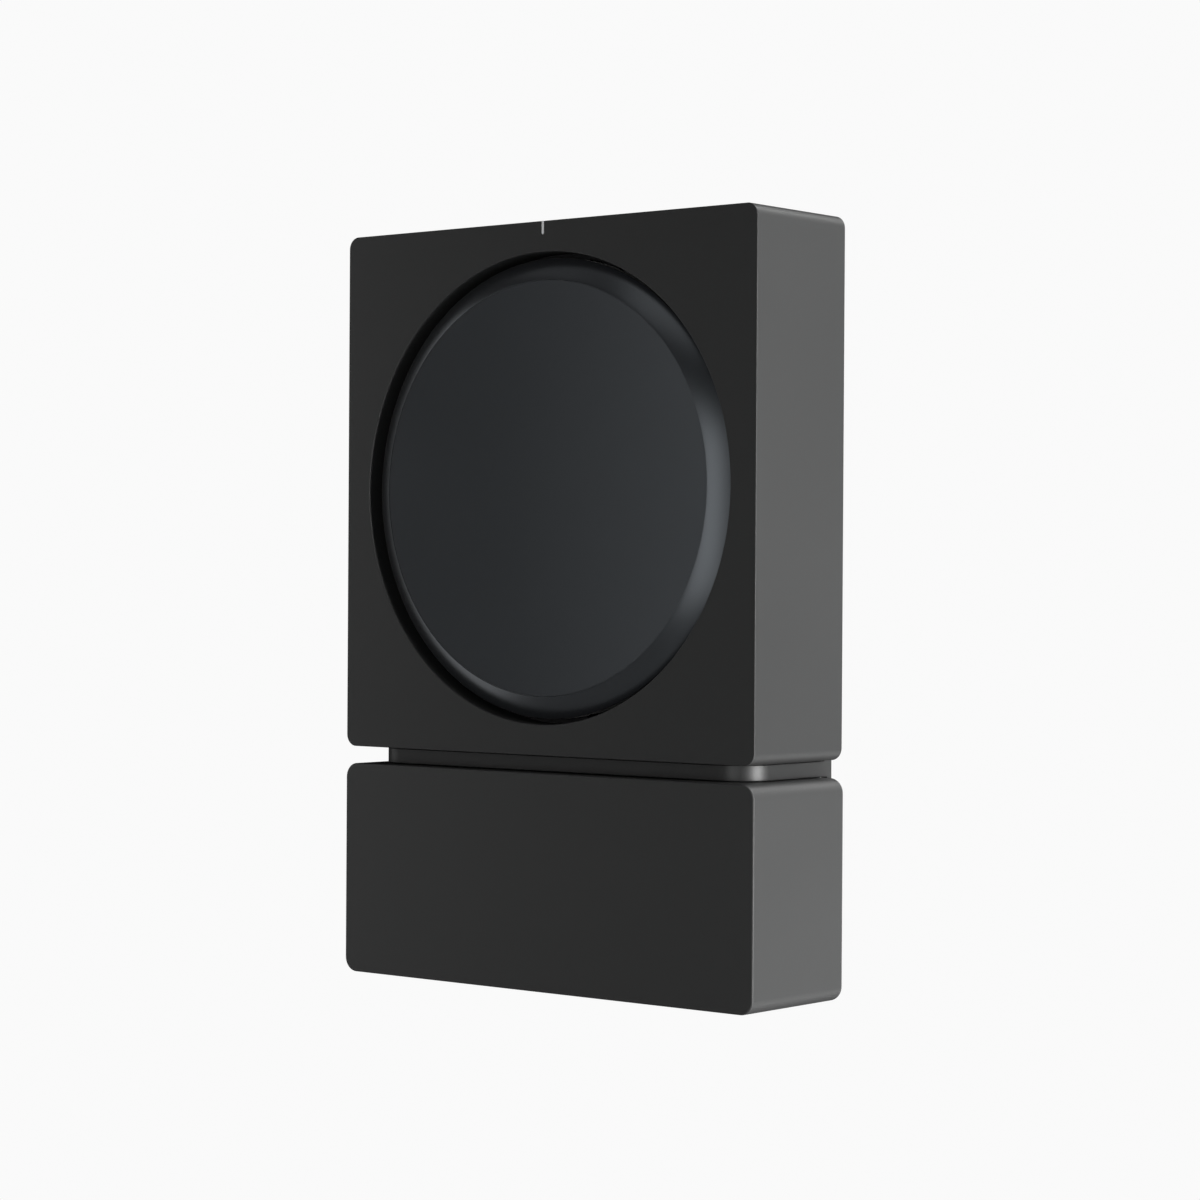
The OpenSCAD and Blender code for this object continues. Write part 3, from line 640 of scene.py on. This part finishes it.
def outline_points(half_w, half_h, corner, x, z):
    """A rounded rectangle, anticlockwise from the front, with even angles along each side."""
    points = []
    for k in range(4):
        quarter = math.radians(90 * k)
        along, across = (half_h, half_w) if k % 2 == 0 else (half_w, half_h)
        reach = along - corner
        for i in range(SIDE_STEPS):
            s = -1 + 2 * i / SIDE_STEPS
            t = reach * math.tan(s * math.pi / 4)
            points.append((across, t, quarter))
        for i in range(CORNER_STEPS):
            a = math.pi / 2 * i / CORNER_STEPS
            points.append((across - corner + corner * math.cos(a), reach + corner * math.sin(a), quarter))
    return [
        (x + u * math.cos(q) - v * math.sin(q), z + u * math.sin(q) + v * math.cos(q))
        for u, v, q in points
    ]


def circle_points(radius, shape, x, z):
    """A circle whose points lie at the same angles as those of an outline."""
    angles = [math.atan2(pz - z, px - x) for px, pz in shape]
    return [(x + radius * math.cos(a), z + radius * math.sin(a)) for a in angles]


UNIT_CORNER = 5 * MM
WALL = 3 * MM
WELL_R = 96 * MM
WELL_WALL = 2.5 * MM
WELL_BACK = FACE_Y + 14 * MM
RIM = 0.45 * MM
EDGE = 0.35 * MM


def unit_ring(inset, y, corner=None):
    """One ring of the housing: its outline drawn in by an inset."""
    corner = UNIT_CORNER - inset if corner is None else corner
    half = UNIT_HALF - inset
    return [(px, y, pz) for px, pz in outline_points(half, half, corner, UNIT_X, UNIT_Z)]


guide = outline_points(UNIT_HALF, UNIT_HALF, UNIT_CORNER, UNIT_X, UNIT_Z)


def well_ring(radius, y):
    """One ring of the well."""
    return [(px, y, pz) for px, pz in circle_points(radius, guide, UNIT_X, UNIT_Z)]


rings = [well_ring(WELL_R, WELL_BACK)]
rings += [well_ring(WELL_R + RIM - u, FACE_Y + RIM - v) for u, v in arc(RIM, 0, 90, 4)]
rings += [unit_ring(EDGE - u, FACE_Y + EDGE - v) for u, v in arc(EDGE, 90, 0, 4)]
rings += [unit_ring(EDGE - u, BACK_Y - EDGE + v) for u, v in arc(EDGE, 0, 90, 3)]
rings += [
    unit_ring(WALL, BACK_Y, 2 * MM),
    unit_ring(WALL, FACE_Y + WALL, 2 * MM),
    well_ring(WELL_R + WELL_WALL, FACE_Y + WALL),
    well_ring(WELL_R + WELL_WALL, WELL_BACK),
]
housing = loft("node_housing", rings, closed=True)
tidy(housing)

BOSS_AT = UNIT_HALF - 8 * MM
BOSS_BORE = 16 * MM
base_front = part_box("base_plate")[0].y
boss_places = [(UNIT_X + sx * BOSS_AT, UNIT_Z + sz * BOSS_AT) for sx, sz in corners]
bosses = [rod_shape(5 * MM, FACE_Y + WALL - MM, base_front, *at) for at in boss_places]
combine(housing, bosses, "UNION")
bores = [rod_shape(1.6 * MM, base_front - BOSS_BORE, base_front + MM, *at, 24) for at in boss_places]
pipe_lo, pipe_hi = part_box("light_pipe")
slot_half = (pipe_hi.x - pipe_lo.x) / 2 + 0.05 * MM
slot_end = pipe_lo.z + slot_half
before, behind = FACE_Y - MM, FACE_Y + WALL + MM
bay_half = 92 * MM
bay_front, bay_back = -46.5 * MM, -12 * MM
cutters = bores + [
    box_shape((-slot_half, before, slot_end), (slot_half, behind, pipe_hi.z + MM)),
    rod_shape(slot_half, before, behind, 0, slot_end, 32),
    box_shape((-slot_half, before, pipe_hi.z - WALL - MM), (slot_half, pipe_hi.y, pipe_hi.z + MM)),
    box_shape((-bay_half, bay_front, housing_lo.z - MM), (bay_half, bay_back, housing_lo.z + WALL + MM)),
]
combine(housing, cutters, "DIFFERENCE")
tidy(housing)
flatten_shading(housing)
shell_black = finish_of("shell_black", (0.0205, 0.021, 0.021), 0.5, 2600, 0.012, cloud=0.1,
                        spread=0.05, dust=0.15)
dress(housing, shell_black, "node_unit", ["housing"])

# ------------------------------------------------------------------ puck
# A flat cap in a sloping ring, both moulded in a softer satin black than the housing.
# They stand in the well on six spacers, with a narrow air gap all round.


TURN_STEPS = 256


def turned_piece(name, profile):
    """Turns a closed profile of (radius, depth behind the face) about the puck's axis."""
    rings = []
    for i in range(TURN_STEPS):
        a = 2 * math.pi * i / TURN_STEPS
        c, s = math.cos(a), math.sin(a)
        rings.append([(UNIT_X + r * c, FACE_Y + d, UNIT_Z + r * s) for r, d in profile])
    piece = loft(name, rings, closed=True)
    tidy(piece)
    return piece


CAP_R = 84.5 * MM
PUCK_R = 94 * MM
DROP = 5.5 * MM
CAP_T = 2 * MM
WEB_R = 60 * MM
SEAM = 0.06 * MM
SLOPE = DROP / (PUCK_R - CAP_R)
cap_edge = 0.12 * MM
DOME = 0.5 * MM          # the cap is very slightly domed
CROWN = 0.2              # the curved share of the shoulder's fall, 0 being a plain cone


def dome_depth(r):
    """Depth of the cap's front, half of its dome standing proud of the face."""
    return DOME * ((r / CAP_R) ** 2 - 0.5)


def shoulder_depth(r):
    """Depth of the shoulder, which starts out shallow and gets steeper outwards."""
    t = (r - CAP_R) / (PUCK_R - CAP_R)
    return DROP * ((1 - CROWN) * t + CROWN * t * t)


profile = [(0.0, CAP_T)]
profile += [(CAP_R * k / 12, dome_depth(CAP_R * k / 12)) for k in range(12)]
rim_d = dome_depth(CAP_R - cap_edge) + cap_edge
profile += [(CAP_R - cap_edge + u, rim_d - v) for u, v in arc(cap_edge, 90, 0, 4)]
RIB_R, RIB_T = WEB_R - 0.2 * MM, 3.8 * MM     # the rib behind the cap
profile += [(CAP_R, CAP_T), (RIB_R, CAP_T), (RIB_R, 2 * CAP_T)]
profile += [(RIB_R - RIB_T, 2 * CAP_T), (RIB_R - RIB_T, CAP_T)]
cap = turned_piece("puck_cap_disc", profile)
flatten_shading(cap)

inner = CAP_R + SEAM
nose = 0.6 * MM
edge_slope = SLOPE * (1 + CROWN)
tilt = math.degrees(math.atan(edge_slope))
lip = 0.15 * MM
nose_r = PUCK_R - nose
profile = [(inner, CAP_T), (inner, shoulder_depth(inner) + lip)]
profile.append((inner + lip, shoulder_depth(inner + 1.5 * lip)))
radii = [inner + (nose_r - inner) * k / 10 for k in range(1, 10)]
profile += [(r, shoulder_depth(r)) for r in radii]
start = Vector((nose_r, shoulder_depth(nose_r)))
bend = start + Vector((-edge_slope, 1)).normalized() * nose
for lean in (tilt, tilt + 15, tilt + 30, tilt + 45, 90):
    a = math.radians(lean)
    profile.append((bend.x + nose * math.sin(a), bend.y - nose * math.cos(a)))
SKIRT_IN = PUCK_R - 2 * MM
SKIRT_END = DROP + 4 * MM
under = DROP + 1.1 * MM
profile += [
    (bend.x + nose, SKIRT_END),
    (SKIRT_IN, SKIRT_END),
    (SKIRT_IN, under),
    (SKIRT_IN - (under - 2 * CAP_T) / SLOPE, 2 * CAP_T),
    (WEB_R, 2 * CAP_T),
    (WEB_R, CAP_T),
]
shoulder = turned_piece("puck_shoulder_ring", profile)
flatten_shading(shoulder)
PUCK_COLOUR = (0.0135, 0.0145, 0.0165)
PUCK_TINT = (0.86, 0.93, 1.0)      # the satin skin shines a little blue
puck_black, ring_black = (
    finish_of(name, PUCK_COLOUR, 0.3, 3200, bump, cloud=0.08, spread=0.04, dust=0.1,
              specular=1.0, tint=PUCK_TINT)
    for name, bump in (("puck_black", 0.006), ("ring_black", 0.008))
)
gloss = ring_black.node_tree.nodes["Principled BSDF"]
gloss.inputs["Sheen Weight"].default_value = 0.14
gloss.inputs["Sheen Roughness"].default_value = 0.35
dress(cap, puck_black, "node_unit", ["puck_cap"])
dress(shoulder, ring_black, "node_unit", ["puck_shoulder"])

# ------------------------------------------------------------------ vent baffle
# Black moulded ring behind the well, with air slots all round. Alloy spacers and
# screws hold the puck off it.

softened("vent_baffle", "node_unit", inner_black, 0.3)
bare_alloy = finish_of("bare_alloy", (0.6, 0.61, 0.62), 0.36, 1500, 0.006, cloud=0.2,
                       spread=0.2, metallic=1.0, stretch=(1, 1, 0.06))
softened("puck_posts", "node_unit", bare_alloy, 0.2)
baffle_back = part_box("vent_baffle")[1].y
POST_RING = 72 * MM
places = []
for i in range(6):
    a = math.radians(30 + 60 * i)
    places.append((POST_RING * math.cos(a), baffle_back, UNIT_Z + POST_RING * math.sin(a)))
shape = screw_shape(2.8 * MM, 2 * MM, 1.45 * MM, 8 * MM)
shape.data.transform(Matrix.Rotation(math.pi, 4, "Z"))
screws("puck_screws", "node_unit", places, shape, 3)

# ------------------------------------------------------------------ light pipe and touch board
# A clear moulded pipe shows the status light on the face and over the top edge. A small
# board under the top wall carries the light and senses a touch through the plastic.

clear_pipe = finish_of("clear_pipe", (0.88, 0.89, 0.9), 0.3, 3000, 0.003, cloud=0.1)
softened("light_pipe", "node_unit", clear_pipe, 0.12)
led_white = finish_of("led_white", (0.8, 0.78, 0.7), 0.35, 3000, 0.003, cloud=0.15)
softened("status_led", "node_unit", led_white, 0.08)


def board_finish(name, colour, trace, per_metre):
    """Solder mask over copper: straight tracks, plated holes and the mask's own gloss."""
    made = finish_of(name, colour, 0.38, 2500, 0.003, cloud=0.15, spread=0.1)
    tree = made.node_tree
    skin = next(n for n in tree.nodes if n.type == "GROUP")
    place = tree.nodes.new("ShaderNodeTexCoord")
    turned = tree.nodes.new("ShaderNodeMapping")
    turned.inputs["Rotation"].default_value = (math.pi / 2, 0, 0)
    tree.links.new(place.outputs["Object"], turned.inputs["Vector"])
    tracks = tree.nodes.new("ShaderNodeTexBrick")
    tracks.inputs["Scale"].default_value = per_metre
    tracks.inputs["Mortar Size"].default_value = 0.035
    tracks.inputs["Mortar Smooth"].default_value = 0.1
    tracks.inputs["Row Height"].default_value = 0.4
    tracks.inputs["Brick Width"].default_value = 1.7
    tree.links.new(turned.outputs[0], tracks.inputs["Vector"])
    holes = tree.nodes.new("ShaderNodeTexVoronoi")
    holes.inputs["Scale"].default_value = per_metre * 0.8
    holes.inputs["Randomness"].default_value = 0.7
    tree.links.new(turned.outputs[0], holes.inputs["Vector"])
    plated = math_node(tree, "LESS_THAN", holes.outputs["Distance"], 0.09)
    base = tint_mix(tree, tracks.outputs["Fac"], colour + (1,), trace + (1,))
    shown = tint_mix(tree, plated, base, (0.5, 0.48, 0.4, 1))
    tree.links.new(shown, skin.inputs["Color"])
    return made


board_green = board_finish("board_green", (0.012, 0.055, 0.03), (0.03, 0.12, 0.06), 260)
softened("touch_board", "node_unit", board_green, 0.08)

# ------------------------------------------------------------------ heatsink
# Extruded aluminium with thirteen fins, standing on brass posts behind the puck. A
# block carries the heat of the two amplifier chips to it.

softened("heatsink", "node_unit", bare_alloy, 0.3)
softened("heat_bridge", "node_unit", bare_alloy, 0.3)
brass = finish_of("brass", (0.62, 0.46, 0.2), 0.35, 2000, 0.005, cloud=0.25, spread=0.15, metallic=1.0)
softened("heatsink_posts", "node_unit", brass, 0.2)
chip_black = finish_of("chip_black", (0.016, 0.016, 0.017), 0.45, 5000, 0.006, cloud=0.1)
softened("amp_chips", "node_unit", chip_black, 0.2)

# ------------------------------------------------------------------ boards
# Two green boards on brass standoffs. The main board has the processor under a tinned
# can; small parts are scattered where nothing else stands.

softened("main_board", "node_unit", board_green, 0.08)
softened("power_board", "node_unit", board_green, 0.08)
softened("board_standoffs", "node_unit", brass, 0.15)
tinned = finish_of("tinned", (0.66, 0.67, 0.68), 0.28, 1200, 0.012, cloud=0.3, spread=0.15, metallic=1.0)
softened("shield_can", "node_unit", tinned, 0.4, 3)
board_lo, board_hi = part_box("main_board")
power_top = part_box("power_board")[1].z
low_z = board_lo.z
places = [(x * MM, board_lo.y, z) for x, z in (
    (-95, low_z + 8 * MM), (-95, board_hi.z - 6 * MM), (48, low_z + 30 * MM), (48, board_hi.z - 6 * MM),
    (65, low_z + 42 * MM), (97, low_z + 42 * MM), (65, power_top - 5 * MM), (97, power_top - 5 * MM),
)]
screws("board_screws", "node_unit", places, screw_shape(2.6 * MM, 1.6 * MM, 1.25 * MM, 6 * MM), 4)


def scatter_tree():
    """Scatters a shape over faces, no two nearer than a distance, turned in quarter turns."""
    tree, given, made = new_tree("scatter_parts", [
        ("Zones", "Geometry"), ("Shape", "Object"), ("Apart", "Float"), ("Density", "Float"),
        ("Axis", "Vector"), ("Step", "Float"), ("Seed", "Int"), ("Material", "Material"),
    ])
    spread = tree.nodes.new("GeometryNodeDistributePointsOnFaces")
    spread.distribute_method = "POISSON"
    tree.links.new(given.outputs["Zones"], spread.inputs["Mesh"])
    tree.links.new(given.outputs["Apart"], spread.inputs["Distance Min"])
    tree.links.new(given.outputs["Density"], spread.inputs["Density Max"])
    tree.links.new(given.outputs["Seed"], spread.inputs["Seed"])
    source = tree.nodes.new("GeometryNodeObjectInfo")
    tree.links.new(given.outputs["Shape"], source.inputs["Object"])
    put = tree.nodes.new("GeometryNodeInstanceOnPoints")
    tree.links.new(spread.outputs["Points"], put.inputs["Points"])
    tree.links.new(source.outputs["Geometry"], put.inputs["Instance"])
    tree.links.new(random_turn(tree, given), put.inputs["Rotation"])
    finish_tree(tree, put.outputs[0], given, made)
    return tree


SCATTER = scatter_tree()


def zones_mesh(name, zones, y):
    """Flat patches at a depth, each from a low to a high x and z in millimetres."""
    verts, faces = [], []
    for x0, z0, x1, z1 in zones:
        n = len(verts)
        verts += [(x * MM, y, z * MM) for x, z in ((x0, z0), (x1, z0), (x1, z1), (x0, z1))]
        faces.append((n, n + 1, n + 2, n + 3))
    data = bpy.data.meshes.new(name)
    data.from_pydata(verts, [], faces)
    return data


def parts_shape(boxes):
    """A small part made of boxes that stand on a board and rise towards -Y, in millimetres."""
    shape = bmesh.new()
    for x0, y0, z0, x1, y1, z1 in boxes:
        made = bmesh.ops.create_cube(shape, size=1)
        size = Matrix.Diagonal(((x1 - x0) * MM, (y1 - y0) * MM, (z1 - z0) * MM, 1))
        middle = Matrix.Translation(((x0 + x1) / 2 * MM, (y0 + y1) / 2 * MM, (z0 + z1) / 2 * MM))
        bmesh.ops.transform(shape, matrix=middle @ size, verts=made["verts"])
    bmesh.ops.bevel(shape, geom=shape.edges, offset=0.06 * MM, segments=1, affect="EDGES")
    data = bpy.data.meshes.new("part")
    shape.to_mesh(data)
    shape.free()
    part = bpy.data.objects.new("part", data)
    bpy.context.collection.objects.link(part)
    return part


legs = [(-2.9, -0.5, z - 0.2, 2.9, -0.2, z + 0.2) for z in (-1.9, -0.63, 0.63, 1.9)]
chip_boxes = [(-1.9, -1.7, -2.5, 1.9, -0.25, 2.5)] + legs
caps = [(x - 0.15, -0.85, -0.52, x + 0.15, -0.02, 0.52) for x in (-0.85, 0.85)]
ceramic_boxes = [(-0.8, -0.8, -0.5, 0.8, -0.05, 0.5)] + caps


def small_parts(name, boxes, zones, apart, seed, material):
    """Scatters one kind of small part over patches of the main board."""
    part = parts_shape(boxes)
    piece = grow(name, zones_mesh(name, zones, board_lo.y), SCATTER, Shape=part, Apart=apart * MM,
                 Density=90000.0, Axis=(0.0, 1.0, 0.0), Step=math.pi / 2, Seed=seed, Material=material)
    bpy.data.objects.remove(part)
    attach(piece, "node_unit")


zones = [(-90, 41, -52, 54), (-24, -14, 28, 6)]
small_parts("small_chips", chip_boxes, zones, 9.5, 5, chip_black)
ceramic_tan = finish_of("ceramic_tan", (0.3, 0.24, 0.16), 0.4, 3000, 0.004, cloud=0.5, spread=0.2)
zones = [(-90, -16, -52, -7), (-30, 39, 38, 54), (-46, 20, -42, 50)]
small_parts("small_ceramics", ceramic_boxes, zones, 4.2, 9, ceramic_tan)

# ------------------------------------------------------------------ power parts
# Ferrite transformer and filter coil wound with enamelled copper, and three capacitors
# in blue sleeves with a pale stripe. The wire is swept along its own helix.

ferrite = finish_of("ferrite", (0.035, 0.033, 0.032), 0.6, 1400, 0.03, cloud=0.2)
softened("transformer", "node_unit", ferrite, 0.4)
softened("choke", "node_unit", ferrite, 0.1)
SLEEVE, STRIPE = (0.02, 0.045, 0.09), (0.45, 0.5, 0.55)
STRIPE_X = 89.8 * MM
sleeve_blue = finish_of("sleeve_blue", SLEEVE, 0.35, 1500, 0.005, cloud=0.15)
tree = sleeve_blue.node_tree
place = tree.nodes.new("ShaderNodeTexCoord")
parted = tree.nodes.new("ShaderNodeSeparateXYZ")
tree.links.new(place.outputs["Object"], parted.inputs[0])
stripe = math_node(tree, "GREATER_THAN", parted.outputs["X"], STRIPE_X)
skin = next(n for n in tree.nodes if n.type == "GROUP")
tree.links.new(tint_mix(tree, stripe, (*SLEEVE, 1), (*STRIPE, 1)), skin.inputs["Color"])
softened("capacitors", "node_unit", sleeve_blue, 0.8, 3)


def wire_tree():
    """Sweeps a round wire along a path."""
    tree, given, made = new_tree("wire_along", [
        ("Path", "Geometry"), ("Wire radius", "Float"), ("Material", "Material"),
    ])
    curve = tree.nodes.new("GeometryNodeMeshToCurve")
    ring = tree.nodes.new("GeometryNodeCurvePrimitiveCircle")
    ring.inputs["Resolution"].default_value = 8
    tree.links.new(given.outputs["Wire radius"], ring.inputs["Radius"])
    sweep = tree.nodes.new("GeometryNodeCurveToMesh")
    sweep.inputs["Fill Caps"].default_value = True
    tree.links.new(ring.outputs[0], sweep.inputs["Profile Curve"])
    end = chain(tree, given.outputs["Path"], (curve, "Mesh"), (sweep, "Curve"))
    finish_tree(tree, end, given, made)
    return tree


WIRE = wire_tree()


def wire(name, places, radius, material):
    """One wire through a list of places."""
    data = bpy.data.meshes.new(name)
    data.from_pydata(places, [(i, i + 1) for i in range(len(places) - 1)], [])
    piece = grow(name, data, WIRE, **{"Wire radius": radius, "Material": material})
    tidy(piece, 60)
    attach(piece, "node_unit")


copper = finish_of("copper", (0.5, 0.2, 0.08), 0.3, 2500, 0.004, cloud=0.3, spread=0.15,
                   metallic=1.0, coat=0.4)
core_x, core_y = 81 * MM, board_lo.y - 13 * MM
COIL_R, COIL_LOW, COIL_LEN = 10.5 * MM, -33.2 * MM, 20.4 * MM
turns, steps = 22, 20
places = []
for i in range(turns * steps + 1):
    a = 2 * math.pi * i / steps
    z = UNIT_Z + COIL_LOW + COIL_LEN * i / (turns * steps)
    places.append((core_x + COIL_R * math.cos(a), core_y + COIL_R * math.sin(a), z))
wire("transformer_winding", places, 0.45 * MM, copper)
ring_x, ring_y, ring_z = 82 * MM, board_lo.y - 3 * MM, UNIT_Z - 57 * MM
RING_R, LOOP_R = 6.5 * MM, 3.2 * MM
WOUND = 0.94             # the share of the ring that is wound
turns, steps = 26, 14
places = []
for i in range(turns * steps + 1):
    a = 2 * math.pi * i / (turns * steps) * WOUND
    b = 2 * math.pi * i / steps
    r = RING_R + LOOP_R * math.cos(b)
    places.append((ring_x + r * math.cos(a), ring_y - LOOP_R * math.sin(b), ring_z + r * math.sin(a)))
wire("choke_winding", places, 0.3 * MM, copper)

# ------------------------------------------------------------------ radio
# Radio card, three antenna boards on edge, and the flat cable to the touch board, whose
# cores run side by side under one skin.

softened("radio_card", "node_unit", board_green, 0.15)
antenna_tan = board_finish("antenna_tan", (0.16, 0.11, 0.05), (0.3, 0.2, 0.08), 120)
softened("antennas", "node_unit", antenna_tan, 0.1)
CORE_DARK, CORE_LIGHT = (0.28, 0.27, 0.25, 1), (0.6, 0.58, 0.53, 1)
ribbon_grey = finish_of("ribbon_grey", (0.5, 0.48, 0.44), 0.5, 1500, 0.004, cloud=0.1)
tree = ribbon_grey.node_tree
place = tree.nodes.new("ShaderNodeTexCoord")
bands = tree.nodes.new("ShaderNodeTexWave")
bands.wave_type = "BANDS"
bands.bands_direction = "X"
bands.inputs["Scale"].default_value = 160
tree.links.new(place.outputs["Object"], bands.inputs["Vector"])
skin = next(n for n in tree.nodes if n.type == "GROUP")
tree.links.new(tint_mix(tree, bands.outputs["Fac"], CORE_DARK, CORE_LIGHT), skin.inputs["Color"])
softened("ribbon_cable", "node_unit", ribbon_grey, 0.05)

# ------------------------------------------------------------------ connectors
# They look down through the floor of a moulded panel let into the bottom wall: network,
# video, phono, speaker and mains. Contacts stand inside the open sockets.

softened("connector_panel", "node_unit", inner_black, 0.3)
nickel = finish_of("nickel", (0.6, 0.59, 0.56), 0.25, 1500, 0.006, cloud=0.3, spread=0.15, metallic=1.0)
softened("ethernet_jacks", "node_unit", nickel, 0.3)
softened("hdmi_jack", "node_unit", nickel, 0.2)
softened("rca_jacks", "node_unit", brass, 0.2)
terminal_black = finish_of("terminal_black", (0.014, 0.014, 0.015), 0.4, 2500, 0.01, cloud=0.12, dust=0.1)
softened("speaker_terminals", "node_unit", terminal_black, 0.4)
softened("mains_inlet", "node_unit", terminal_black, 0.3)
softened("inlet_pins", "node_unit", nickel, 0.5, 3)
softened("join_switch", "node_unit", chip_black, 0.15)
panel_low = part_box("mains_inlet")[0].z
CONTACT_PITCH = 1.02 * MM
contact_y, contact_z = board_lo.y - 11.6 * MM, panel_low + 3 * MM
for k, x in enumerate((33, 50)):
    row = [(x * MM + (i - 3.5) * CONTACT_PITCH, contact_y, contact_z) for i in range(8)]
    contact = parts_shape([(-0.2, 0, 0, 0.2, 0.4, 9.5), (-0.2, 0, 0, 0.2, 1.6, 0.5)])
    piece = grow(f"socket_contacts_{k}", points_mesh("contacts", row), SET_ON_POINTS,
                 Shape=contact, Axis=(0.0, 0.0, 0.0), Step=0.0, Seed=0, Material=brass)
    bpy.data.objects.remove(contact)
    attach(piece, "node_unit")

# The screws stand in the panel's flange, heads up.
flange_low = UNDER_UNIT + WALL + 1.5 * MM
shape = screw_shape(1.7 * MM, 1.4 * MM, 0.9 * MM, 1.0 * MM)
shape.data.transform(Matrix.Rotation(-math.pi / 2, 4, "X"))
places = [(sx * 60 * MM, y * MM, flange_low) for sx in (-1, 1) for y in (-50, -10.1)]
screws("panel_screws", "node_unit", places, shape, 5, (0.0, 0.0, 1.0))

# ------------------------------------------------------------------ base plate
# Moulded back cover with keyholes and air slots, four screws with flat heads, and a
# rubber ring to stand on.

softened("base_plate", "node_unit", inner_black, 0.3)
base_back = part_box("base_plate")[1].y
shape = screw_shape(3.4 * MM, 1.2 * MM, 1.5 * MM, 12 * MM, countersunk=True)
shape.data.transform(Matrix.Rotation(math.pi, 4, "Z"))
SINK = 1.3 * MM
places = [(x, base_back - SINK, z) for x, z in boss_places]
screws("base_screws", "node_unit", places, shape, 6)
softened("foot_ring", "node_unit", rubber_black, 0.6, 3)

# ------------------------------------------------------------------ set-up button
# A small grey moulded button in the panel, pushed from below, with a collar that stops
# it inside.

button_grey = finish_of("button_grey", (0.05, 0.05, 0.052), 0.45, 2500, 0.01, cloud=0.1)
softened("join_button", "setup_button", button_grey, 0.5, 3)

# ------------------------------------------------------------------ dock cover
# A box moulded in one piece, open at the back, that snaps over the cables. Its front
# edge has a small radius and its back edge a larger one.

cover_lo, cover_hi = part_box("dock_cover")
COVER_X = (cover_lo.x + cover_hi.x) / 2
COVER_Z = (cover_lo.z + cover_hi.z) / 2
COVER_HALF_W = (cover_hi.x - cover_lo.x) / 2
COVER_HALF_H = (cover_hi.z - cover_lo.z) / 2
COVER_CORNER = 6 * MM
FRONT_EDGE = 0.7 * MM
BACK_EDGE = 2.0 * MM


def cover_ring(inset, y, corner=None):
    """One ring of the cover: its outline drawn in by an inset."""
    corner = COVER_CORNER - inset if corner is None else corner
    shape = outline_points(COVER_HALF_W - inset, COVER_HALF_H - inset, corner, COVER_X, COVER_Z)
    return [(px, y, pz) for px, pz in shape]


rings = [cover_ring(FRONT_EDGE - u, cover_lo.y + FRONT_EDGE - v) for u, v in arc(FRONT_EDGE, 90, 0, 6)]
rings += [cover_ring(BACK_EDGE - u, cover_hi.y - BACK_EDGE + v) for u, v in arc(BACK_EDGE, 0, 90, 6)]
rings += [cover_ring(WALL, cover_hi.y, 3 * MM), cover_ring(WALL, cover_lo.y + WALL, 3 * MM)]
cover = loft("dock_cover_shell", rings, caps=True)
tidy(cover)
socket_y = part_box("catch_sockets")[0].y
places = [(sx * 89 * MM, COVER_Z + sz * 27 * MM) for sx, sz in corners]
pillars = [rod_shape(6 * MM, cover_lo.y + WALL - MM, socket_y + 4 * MM, *at) for at in places]
combine(cover, pillars, "UNION")
seats = [rod_shape(3.6 * MM, socket_y, socket_y + 5 * MM, *at) for at in places]
combine(cover, seats, "DIFFERENCE")
TOP_HALF, TOP_FRONT = 86 * MM, -50 * MM
EXIT_HALF, EXIT_FRONT, EXIT_BACK = 31 * MM, -40 * MM, -18 * MM
top_z, exit_z = cover_hi.z - WALL - MM, cover_lo.z + WALL + MM
openings = [
    box_shape((-TOP_HALF, TOP_FRONT, top_z), (TOP_HALF, cover_hi.y + MM, cover_hi.z + MM)),
    box_shape((-EXIT_HALF, EXIT_FRONT, cover_lo.z - MM), (EXIT_HALF, EXIT_BACK, exit_z)),
]
combine(cover, openings, "DIFFERENCE")
tidy(cover)
flatten_shading(cover)
cover_black = finish_of("cover_black", (0.028, 0.0285, 0.0285), 0.5, 2600, 0.012, cloud=0.12,
                        spread=0.05, dust=0.15)
dress(cover, cover_black, "cable_cover", ["dock_cover"])
softened("exit_grommet", "cable_cover", rubber_black, 0.4)
softened("catch_sockets", "cable_cover", brass, 0.3)
